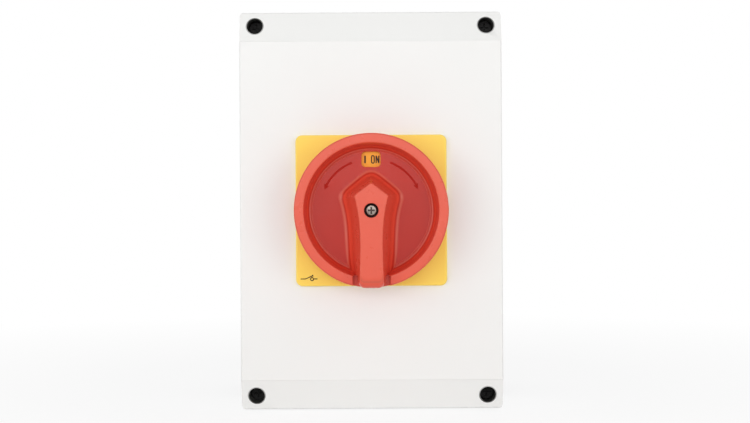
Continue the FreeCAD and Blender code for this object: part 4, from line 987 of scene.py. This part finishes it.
@dataclass
class Knob:
    """Red dished knob with its pointer grip, arrows, slide, washer and screw.

    A pair of the grip's sizes holds the one at its top and the one at its foot.
    The edges are the rounds of the rim's lip, its brow and the skirt's hem. A
    hole is its radius or width, and the level where it ends. The arrow's halves
    are those of its foot, its top and its head.
    """

    paint: Paintbox
    radius: float = 44.8
    skirt_level: float = 129.3
    underside: float = 137.5
    floor_level: float = 140.0
    rim_level: float = 152.0
    grip_level: float = 163.0
    floor_radius: float = 35.3
    rim_inner: float = 39.0
    edges: Triple = (0.8, 1.0, 0.4)
    centre_hole: float = 3.0
    bead: Pair = (0.4, 0.16)
    bead_start: float = 0.9
    sweep: Pair = (2.6, 3.4)
    roof_drop: float = 2.4
    columns: int = 224
    apex: Pair = (15.9, 24.5)
    shoulder_x: Pair = (9.95, 18.6)
    shoulder_y: Pair = (8.5, 9.2)
    waist_x: Pair = (6.5, 13.9)
    waist_y: float = -20.0
    tail_x: Pair = (6.9, 8.4)
    tail_end: float = 44.5
    tail_round: float = 6.0
    heel_round: float = 2.1
    corner_passes: int = 4
    foot_passes: int = 22
    foot_share: float = 0.9
    reach_gap: float = 0.15
    grip_edge: float = 0.7
    wall_angle: float = 76.0
    fillet: float = 6.0
    fillet_end: float = 3.5
    fillet_sink: float = 0.04
    root: float = 0.6
    share_run: float = 7.6
    window: Triple = (11.2, 9.1, 2.3)
    window_radius: float = 30.0
    notch_half: float = 10.75
    notch_level: float = 146.0
    well: Pair = (4.15, 156.0)
    bore: Pair = (2.0, 149.0)
    neck: Pair = (12.3, 150.1)
    blade: Pair = (5.6, 34.0)
    lug: Pair = (7.8, 23.6)
    lug_depth: float = 2.1
    slide_gap: float = 0.3
    arrow_radius: Pair = (30.2, 30.0)
    arrow_turn: Triple = (22, 60, 66)
    arrow_half: Triple = (0.68, 0.5, 1.6)
    arrow_rise: Pair = (0.14, 0.15)
    arrow_sink: float = 0.1
    head_height: float = 2.4
    cross: Pair = (1.0, 3.9)
    cross_depth: float = 1.5

    def outlines(self, share: Array, inset: Array, tail: Array) -> Array:
        """Pointer outlines, one for each row.

        Every measure lies between its value at the grip's top (share 0) and at
        its foot (share 1). From the apex a straight line runs to the shoulder.
        Below it the half-width is a cubic through the shoulder, a point with a
        fifth of the narrowing left, the waist and the tail, and a quarter circle
        rounds it into the heel. The half is mirrored, its corners are eased,
        more so towards the foot, and each row is pulled in by its inset and
        held inside the knob's radius.

        Args:
            share: Share of each row, shape (rows,).
            inset: Inset of each row.
            tail: Tail's end of each row, below the axis.

        Returns:
            Array of shape (rows, columns, 2).
        """
        def mixed(ends: Pair) -> Array:
            """Each row's value between the pair, as a column."""
            return (ends[0] + share * (ends[1] - ends[0]))[:, None]

        shoulder, height, waist, foot = (mixed(ends) for ends in
                                         (self.shoulder_x, self.shoulder_y, self.waist_x, self.tail_x))
        apex, end = mixed(self.apex), -tail[:, None]
        along = np.linspace(0, 1, 22)[None, :-1]
        roof = np.stack([along * shoulder, apex + along * (height - apex)], axis=-1)
        drop = np.linspace(0, 1, 86)[None, :]
        y = height + drop * (end - height)
        knots = [height, (height + self.waist_y) / 2, self.waist_y + 0 * height, -self.radius + 0 * height]
        values = [shoulder, waist + 0.2 * (shoulder - waist), waist, foot]
        side = np.zeros_like(y)
        for one in range(4):
            term = values[one] * np.ones_like(y)
            for other in range(4):
                if other != one:
                    term = term * (y - knots[other]) / (knots[one] - knots[other])
            side = side + term
        over = np.clip(self.heel_round - (y - end), 0, self.heel_round)
        side = side - self.heel_round + np.sqrt(self.heel_round ** 2 - over ** 2)
        flank = np.stack([side, y], axis=-1)
        across = np.linspace(1, 0, 13)[None, 1:]
        heel = np.stack([across * side[:, -1:], end + 0 * across], axis=-1)
        half = np.concatenate([roof, flank, heel], axis=1)
        mirror = half[:, -2:0:-1] * np.array([-1.0, 1.0])
        whole = softened(np.concatenate([half, mirror], axis=1)[:, ::-1], self.corner_passes)
        eased = smooth_step(share / self.foot_share)[:, None, None]
        whole = whole + eased * (softened(whole, self.foot_passes) - whole)
        whole = whole - outward(whole) * inset[:, None, None]
        reach = np.linalg.norm(whole, axis=-1, keepdims=True)
        return whole * np.minimum(1.0, (self.radius - self.reach_gap) / np.maximum(reach, 1e-6))

    def cup(self) -> Piece:
        """Skirt, rim and dish as one turned profile, with a fine bead round the floor.

        Returns:
            The closed cup.
        """
        top, low, level = self.rim_level, self.skirt_level, self.floor_level
        in_lip, in_brow, in_hem = self.edges
        run = np.linspace(self.centre_hole, self.floor_radius - self.bead_start, 32)
        floor = np.stack([run, np.full(len(run), level)], axis=-1)
        bead = arc_points((self.floor_radius - self.bead[0], level), self.bead, 180, 0, 7)
        sweep = arc_points((self.floor_radius + 0.05, level + self.sweep[1]), self.sweep, -90, -10, 9)
        wall = np.linspace(sweep[-1], (self.rim_inner, top - in_lip), 6)[1:-1]
        lip = arc_points((self.rim_inner + in_lip, top - in_lip), (in_lip, in_lip), 180, 90, 6)
        crown = np.linspace((self.rim_inner + in_lip, top), (self.radius - in_brow, top), 4)[1:-1]
        brow = arc_points((self.radius - in_brow, top - in_brow), (in_brow, in_brow), 90, 0, 7)
        skirt = np.linspace((self.radius, top - in_brow), (self.radius, low + in_hem), 8)[1:-1]
        hem = arc_points((self.radius - in_hem, low + in_hem), (in_hem, in_hem), 0, -90, 4)
        roof = self.notch_level - self.roof_drop
        # Hollow of the rim, from the hem up to its roof and in under the floor
        inside = np.array([(42.8, low), (42.6, low + 0.2), (42.6, roof - 0.3), (42.3, roof), (41.2, roof),
                           (40.0, self.underside), (self.centre_hole, self.underside)])
        profile = np.concatenate([floor, bead, sweep, wall, lip, crown, brow, skirt, hem, inside])
        return shell("knob_moulded", [turned(profile, self.columns)])

    def grip(self) -> Piece:
        """Pointer grip from its top down to below the floor.

        The top edge is a quarter circle. The tail's end follows a quarter
        circle of the tail's radius. The wall leans out at its own angle, and a
        circular fillet carries it out until it sinks just under the floor.

        Returns:
            The closed grip.
        """
        edge, top = self.grip_edge, self.grip_level
        corner = np.radians(np.linspace(90, 0, 6))
        start = math.degrees(math.asin((self.tail_round - edge) / self.tail_round))
        bend = np.radians(np.linspace(start, 0, 9)[1:])
        lean = math.radians(self.wall_angle)
        foot_level = self.floor_level - self.fillet_sink
        wall_low = foot_level + self.fillet * (1 - math.cos(lean))
        levels = np.concatenate([top - edge + edge * np.sin(corner),
                                 top - self.tail_round + self.tail_round * np.sin(bend),
                                 np.linspace(top - self.tail_round, wall_low, 8)[1:]])
        inset = np.concatenate([edge * (1 - np.cos(corner)), np.zeros(len(levels) - len(corner))])
        out = np.clip(top - edge - levels, 0, None) / math.tan(lean)
        slope = np.linspace(lean, math.radians(self.fillet_end), 20)[1:]
        out = np.concatenate([out, out[-1] + self.fillet * (math.sin(lean) - np.sin(slope))])
        levels = np.concatenate([levels, foot_level + self.fillet * (1 - np.cos(slope)),
                                 [self.underside + self.root]])
        share = np.append(out, out[-1]) / self.share_run
        inset = np.concatenate([inset, np.zeros(len(slope) + 1)])
        above = np.clip(levels - (top - self.tail_round), 0, self.tail_round)
        tail = self.tail_end - self.tail_round + np.sqrt(self.tail_round ** 2 - above ** 2)
        flat = self.outlines(share, inset, tail)
        depth = np.broadcast_to(levels[:, None, None], flat.shape[:2] + (1,))
        return shell("grip", [np.concatenate([flat, depth], axis=-1)])

    def cutters(self) -> list[Piece]:
        """Notch, window, screw well, bores, neck pocket and slide channel, with eased mouths.

        Returns:
            Closed solids, to be cut away.
        """
        quarter = np.radians(np.linspace(0, 90, 5))

        def mouth(level: float, radius: float) -> list[Pair]:
            """Depths and offsets of a quarter-circle mouth up to a level, and on past it."""
            arc = [(level - radius + radius * math.sin(turn), radius * (1 - math.cos(turn))) for turn in quarter]
            return arc + [(level + 1.0, radius)]

        low, high = -self.radius - 1.5, -self.floor_radius - 2.2
        notch = rounded_rectangle(2 * self.notch_half, high - low, 0.3, 3) + np.array([0, (low + high) / 2])
        window = rounded_rectangle(*self.window, 8) + np.array([0, self.window_radius])
        neck = rounded_rectangle(self.neck[0], self.neck[0], 0.2, 2)
        slide_low, slide_high = (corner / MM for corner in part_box("padlock_slide"))
        blade, lug = (rounded_rectangle(*size, 0.1, 2) + np.array([0, slide_high.z + self.slide_gap - size[1] / 2])
                      for size in (self.blade, self.lug))
        slide_top = -slide_low.y + self.slide_gap
        under = (self.underside - 1, 0.0)
        solids = {
            "notch": levelled(notch, [(self.notch_level, 0.0)] + mouth(self.rim_level, 0.6)),
            "window": levelled(window, [under] + mouth(self.floor_level, 0.35)),
            "well": levelled(circle(self.well[0], 64), [(self.well[1], 0.0)] + mouth(self.grip_level, 0.25)),
            "bore": levelled(circle(self.bore[0], 40), [(self.bore[1], 0.0), (self.well[1] + 0.5, 0.0)]),
            "neck": levelled(neck, [under, (self.neck[1], 0.0)]),
            "blade": levelled(blade, [under, (slide_top, 0.0)]),
            "lug": levelled(lug, [(slide_top - self.lug_depth, 0.0), (slide_top + 0.01, 0.0)]),
        }
        return [shell(name, [grid]) for name, grid in solids.items()]

    def arrow(self, side: int) -> Piece:
        """Raised arc with a head at its lower end, on one side of the window.

        Args:
            side: 1 for the right, -1 for the left.

        Returns:
            The closed arrow.
        """
        foot, top, barb = self.arrow_half
        low, high, head_high = (self.floor_level + rise for rise in (-self.arrow_sink, *self.arrow_rise))
        section = np.array([(-foot, low), (foot, low), (top, high), (-top, high)])
        start, end, point = (90 - side * turn for turn in self.arrow_turn)
        path = arc_points((0, 0), (self.arrow_radius[0], self.arrow_radius[0]), start, end, 40)
        tip = np.array([math.cos(math.radians(point)), math.sin(math.radians(point))]) * self.arrow_radius[1]
        back = path[-1]
        across = back / np.linalg.norm(back)
        head = np.array([tip, back + across * barb, back - across * barb])
        turn = np.cross(head[1] - head[0], head[2] - head[0])
        head = head if turn > 0 else head[::-1]
        grids = [carried(path, section, False), levelled(head, [(low, 0.0), (head_high, -0.08)])]
        return shell("knob_arrow_" + ("right" if side > 0 else "left"), grids)

    def screw(self) -> Piece:
        """Pan-head screw: a turned head with a domed crown and a cross recess, on a plain shank.

        Returns:
            The closed screw.
        """
        low, high = (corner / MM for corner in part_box("knob_screw"))
        top, seat, end = -low.y, -low.y - self.head_height, -high.y
        crown = np.concatenate([arc_points((0, top - 0.2), (2.72, 0.2), 90, 20, 8),
                                arc_points((2.65, top - 0.38), (0.25, 0.25), 70, 0, 6)])
        under = np.array([(2.9, seat + 0.15), (2.75, seat), (1.5, seat), (1.5, end + 0.4), (1.1, end), (0.0, end)])
        head = shell("knob_screw_turned", [turned(np.concatenate([crown, under]), 64)])
        arms = []
        for count, sides in enumerate((self.cross, self.cross[::-1])):
            arm = levelled(rounded_rectangle(*sides, 0.2, 4),
                           [(top - self.cross_depth - 0.01 * count, -0.14), (top + 0.5, 0.05)])
            arms.append(shell("arm", [arm]))
        return combine(head, [(arm, Joining.CUT) for arm in arms])

    def shade_recess(self, screw: Piece) -> None:
        """Gives the faces down in the screw's cross a dark finish, painted shade for the recess, picked by their
        depth and distance out.

        Args:
            screw: The dressed screw.
        """
        # Painted shade: the cross recess gets a darker steel.
        screw.data.materials.append(self.paint("recess_shade_steel"))
        centres = np.empty(3 * len(screw.data.polygons))
        screw.data.polygons.foreach_get("center", centres)
        x, y, z = centres.reshape(-1, 3).T / MM
        top = -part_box("knob_screw")[0].y / MM
        down = (-y < top - 0.3) & (-y > top - 1.8) & (np.hypot(x, z) < 2.15)
        screw.data.polygons.foreach_set("material_index", down.astype(np.int32))

    def build(self) -> list[Piece]:
        """Cup and grip made one, then the cuts, then the small pieces.

        Returns:
            The pieces.
        """
        body = combine(self.cup(), [(self.grip(), Joining.ADD)] + [(tool, Joining.CUT) for tool in self.cutters()])
        made = [self.paint.dress(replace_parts(shade(body), "knob"), "knob_plastic", "knob_plastic", "rotor")]
        for side in (-1, 1):
            made.append(self.paint.dress(shade(self.arrow(side)), "arrow_plastic", "knob_plastic", "rotor"))
        screw = self.paint.dress(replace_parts(shade(self.screw()), "knob_screw"), "screw_steel", "steel", "rotor")
        self.shade_recess(screw)
        made.append(screw)
        washer = shade(cad_copy("knob_washer", "knob_washer_ring"))
        made.append(self.paint.dress(washer, "washer_plastic", "black_plastic", "rotor"))
        slide = shade(cad_copy("padlock_slide", "padlock_slide_blade"), 0.3)
        made.append(self.paint.dress(slide, "slide_plastic", "slide_plastic", "lock_slide"))
        return made


@dataclass
class SwitchBlock:
    """The switch behind the cover: every CAD piece that stays, and the three contact springs."""

    paint: Paintbox
    spring_keep: float = 0.6
    spring_joints: tuple[tuple[str, str, int], ...] = (
        ("contact_spring_1", "pole_1", -1), ("contact_spring_2", "pole_2", 1), ("contact_spring_3", "pole_3", -1))

    def springs(self) -> list[Piece]:
        """Copies of the contact springs, each with its own mesh, riding on the enclosure.

        Returns:
            The springs.
        """
        made = []
        for node, body, side in self.spring_joints:
            coil = shade(cad_copy(node, node + "_coil"))
            self.paint.dress(coil, "spring_steel", "spring_steel", "enclosure")
            made.append(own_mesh(coil))
        return made

    def build(self) -> list[Piece]:
        """Paints each CAD node with its slot's finish and adds the springs.

        Returns:
            The springs, as the only new pieces.
        """
        for part in frame["record"]["subparts"]:
            node = frame["nodes"][part["node"]]
            node.data.materials.clear()
            node.data.materials.append(self.paint(part["material_slot"]))
        return self.springs()


# Floor, lamps and camera
@dataclass(frozen=True)
class Lamp:
    """A flat soft lamp."""

    name: str
    place: Triple
    sides: Pair
    power: float

    def light(self, target: Triple) -> None:
        """Hangs the lamp and aims it.

        Args:
            target: Point that it is aimed at.
        """
        lamp = bpy.data.lights.new(self.name, "AREA")
        lamp.shape, lamp.energy = "RECTANGLE", self.power
        lamp.size, lamp.size_y = self.sides
        holder = bpy.data.objects.new(self.name, lamp)
        bpy.context.scene.collection.objects.link(holder)
        away = np.array(self.place) - np.array(target)
        holder.location = self.place
        holder.rotation_euler = (math.acos(away[2] / np.linalg.norm(away)), 0,
                                 math.atan2(away[1], away[0]) + math.pi / 2)


@dataclass
class Studio:
    """Pale floor, white surroundings, soft lamps and the camera.

    The camera's picture is 750 wide, and shows picture_scale of that width for
    each millimetre of the cover's front.
    """

    camera_distance: float = 0.750
    picture_width: float = 750.0
    picture_scale: float = 1.672
    sensor: float = 36.0
    centre_shift: Pair = (3.7, -1.1)
    roll: float = 0.33
    floor_gap: float = 0.0005
    floor_radius: float = 2200.0
    floor_grey: float = 0.93
    fade_reach: Pair = (0.22, 0.6)
    fade_share: Pair = (0.84, 1.0)
    sky: float = 0.56
    aim: Triple = (0.0, -0.1, 0.0)
    lamps: tuple[Lamp, ...] = (
        Lamp("left_lamp", (-1.05, -1.35, 0.12), (0.8, 0.7), 5.3),
        Lamp("right_lamp", (1.05, -1.35, 0.06), (0.8, 0.7), 5.0),
        Lamp("front_lamp", (-0.1, -1.75, 0.30), (1.2, 0.6), 5.5),
        Lamp("rear_lamp", (0.3, 1.6, 0.9), (1.2, 1.2), 6.0),
    )

    def seen(self, graph: Nodes) -> Socket:
        """One for camera, mirror and glass rays, and nothing for the rays that light the object.

        Args:
            graph: The nodes that need it.

        Returns:
            The share that is seen.
        """
        rays = graph.tree.nodes.new("ShaderNodeLightPath").outputs
        mirrored = graph.sum("MAXIMUM", rays["Is Camera Ray"], rays["Is Glossy Ray"])
        return graph.sum("MAXIMUM", mirrored, rays["Is Transmission Ray"])

    def world(self) -> None:
        """White where it is seen, and a soft even light on the object."""
        world = bpy.data.worlds.new("surroundings")
        graph = Nodes(world, "ShaderNodeOutputWorld")
        even, white = (graph.add("ShaderNodeBackground", {"Color": WHITE, "Strength": strength})
                       for strength in (self.sky, 1.0))
        graph.feed(graph.output, {0: graph.add("ShaderNodeMixShader", {0: self.seen(graph), 1: even, 2: white})})
        bpy.context.scene.world = world

    def floor(self) -> None:
        """Pale floor that keeps part of the shadow near the object, where it is seen."""
        low = CAD_BOX[0].z / MM - self.floor_gap / MM
        disc = circle(self.floor_radius, 96)
        mesh = bpy.data.meshes.new("floor")
        points = np.column_stack([disc, np.full(len(disc), low)]) * MM
        mesh.from_pydata(points.tolist(), [], [list(range(len(disc)))])
        piece = put("floor", mesh)
        material = bpy.data.materials.new("floor")
        graph = Nodes(material, "ShaderNodeOutputMaterial")
        place = graph.add("ShaderNodeTexCoord", result="Object")
        far = graph.add("ShaderNodeVectorMath", {0: place}, "Value", operation="LENGTH")
        share = graph.sum("MULTIPLY", self.seen(graph), graph.spread(far, *self.fade_share, self.fade_reach))
        matt = graph.add("ShaderNodeBsdfDiffuse", {"Color": (*[self.floor_grey] * 3, 1.0)})
        glow = graph.add("ShaderNodeEmission", {"Color": WHITE, "Strength": 1.0})
        graph.feed(graph.output, {0: graph.add("ShaderNodeMixShader", {0: share, 1: matt, 2: glow})})
        piece.data.materials.append(material)

    def camera(self) -> None:
        """Camera level with the knob's axis, straight in front."""
        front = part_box("cover_shell")[0].y
        view = bpy.data.cameras.new("camera")
        view.sensor_width = self.sensor
        view.lens = self.sensor * self.picture_scale * self.camera_distance / MM / self.picture_width
        view.shift_x, view.shift_y = (part / self.picture_width for part in self.centre_shift)
        holder = bpy.data.objects.new("camera", view)
        bpy.context.scene.collection.objects.link(holder)
        holder.location = (0, front - self.camera_distance, 0)
        holder.rotation_euler = (math.pi / 2, math.radians(self.roll), 0)
        bpy.context.scene.camera = holder

    def build(self) -> None:
        """Sets up everything round the object."""
        self.world()
        self.floor()
        for lamp in self.lamps:
            lamp.light(self.aim)
        self.camera()
        bpy.context.scene.view_settings.view_transform = "Standard"


def main() -> None:
    """Builds the sub-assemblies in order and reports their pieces."""
    logging.basicConfig(level=logging.INFO, format="%(name)s: %(message)s")
    paint = Paintbox()
    for group in (SwitchBlock(paint), Enclosure(paint), FrontPlate(paint), Knob(paint)):
        for piece in group.build():
            LOG.info("%s: %s, %d faces", type(group).__name__, piece.name, len(piece.data.polygons))
    Studio().build()


if __name__ == "__main__":
    main()
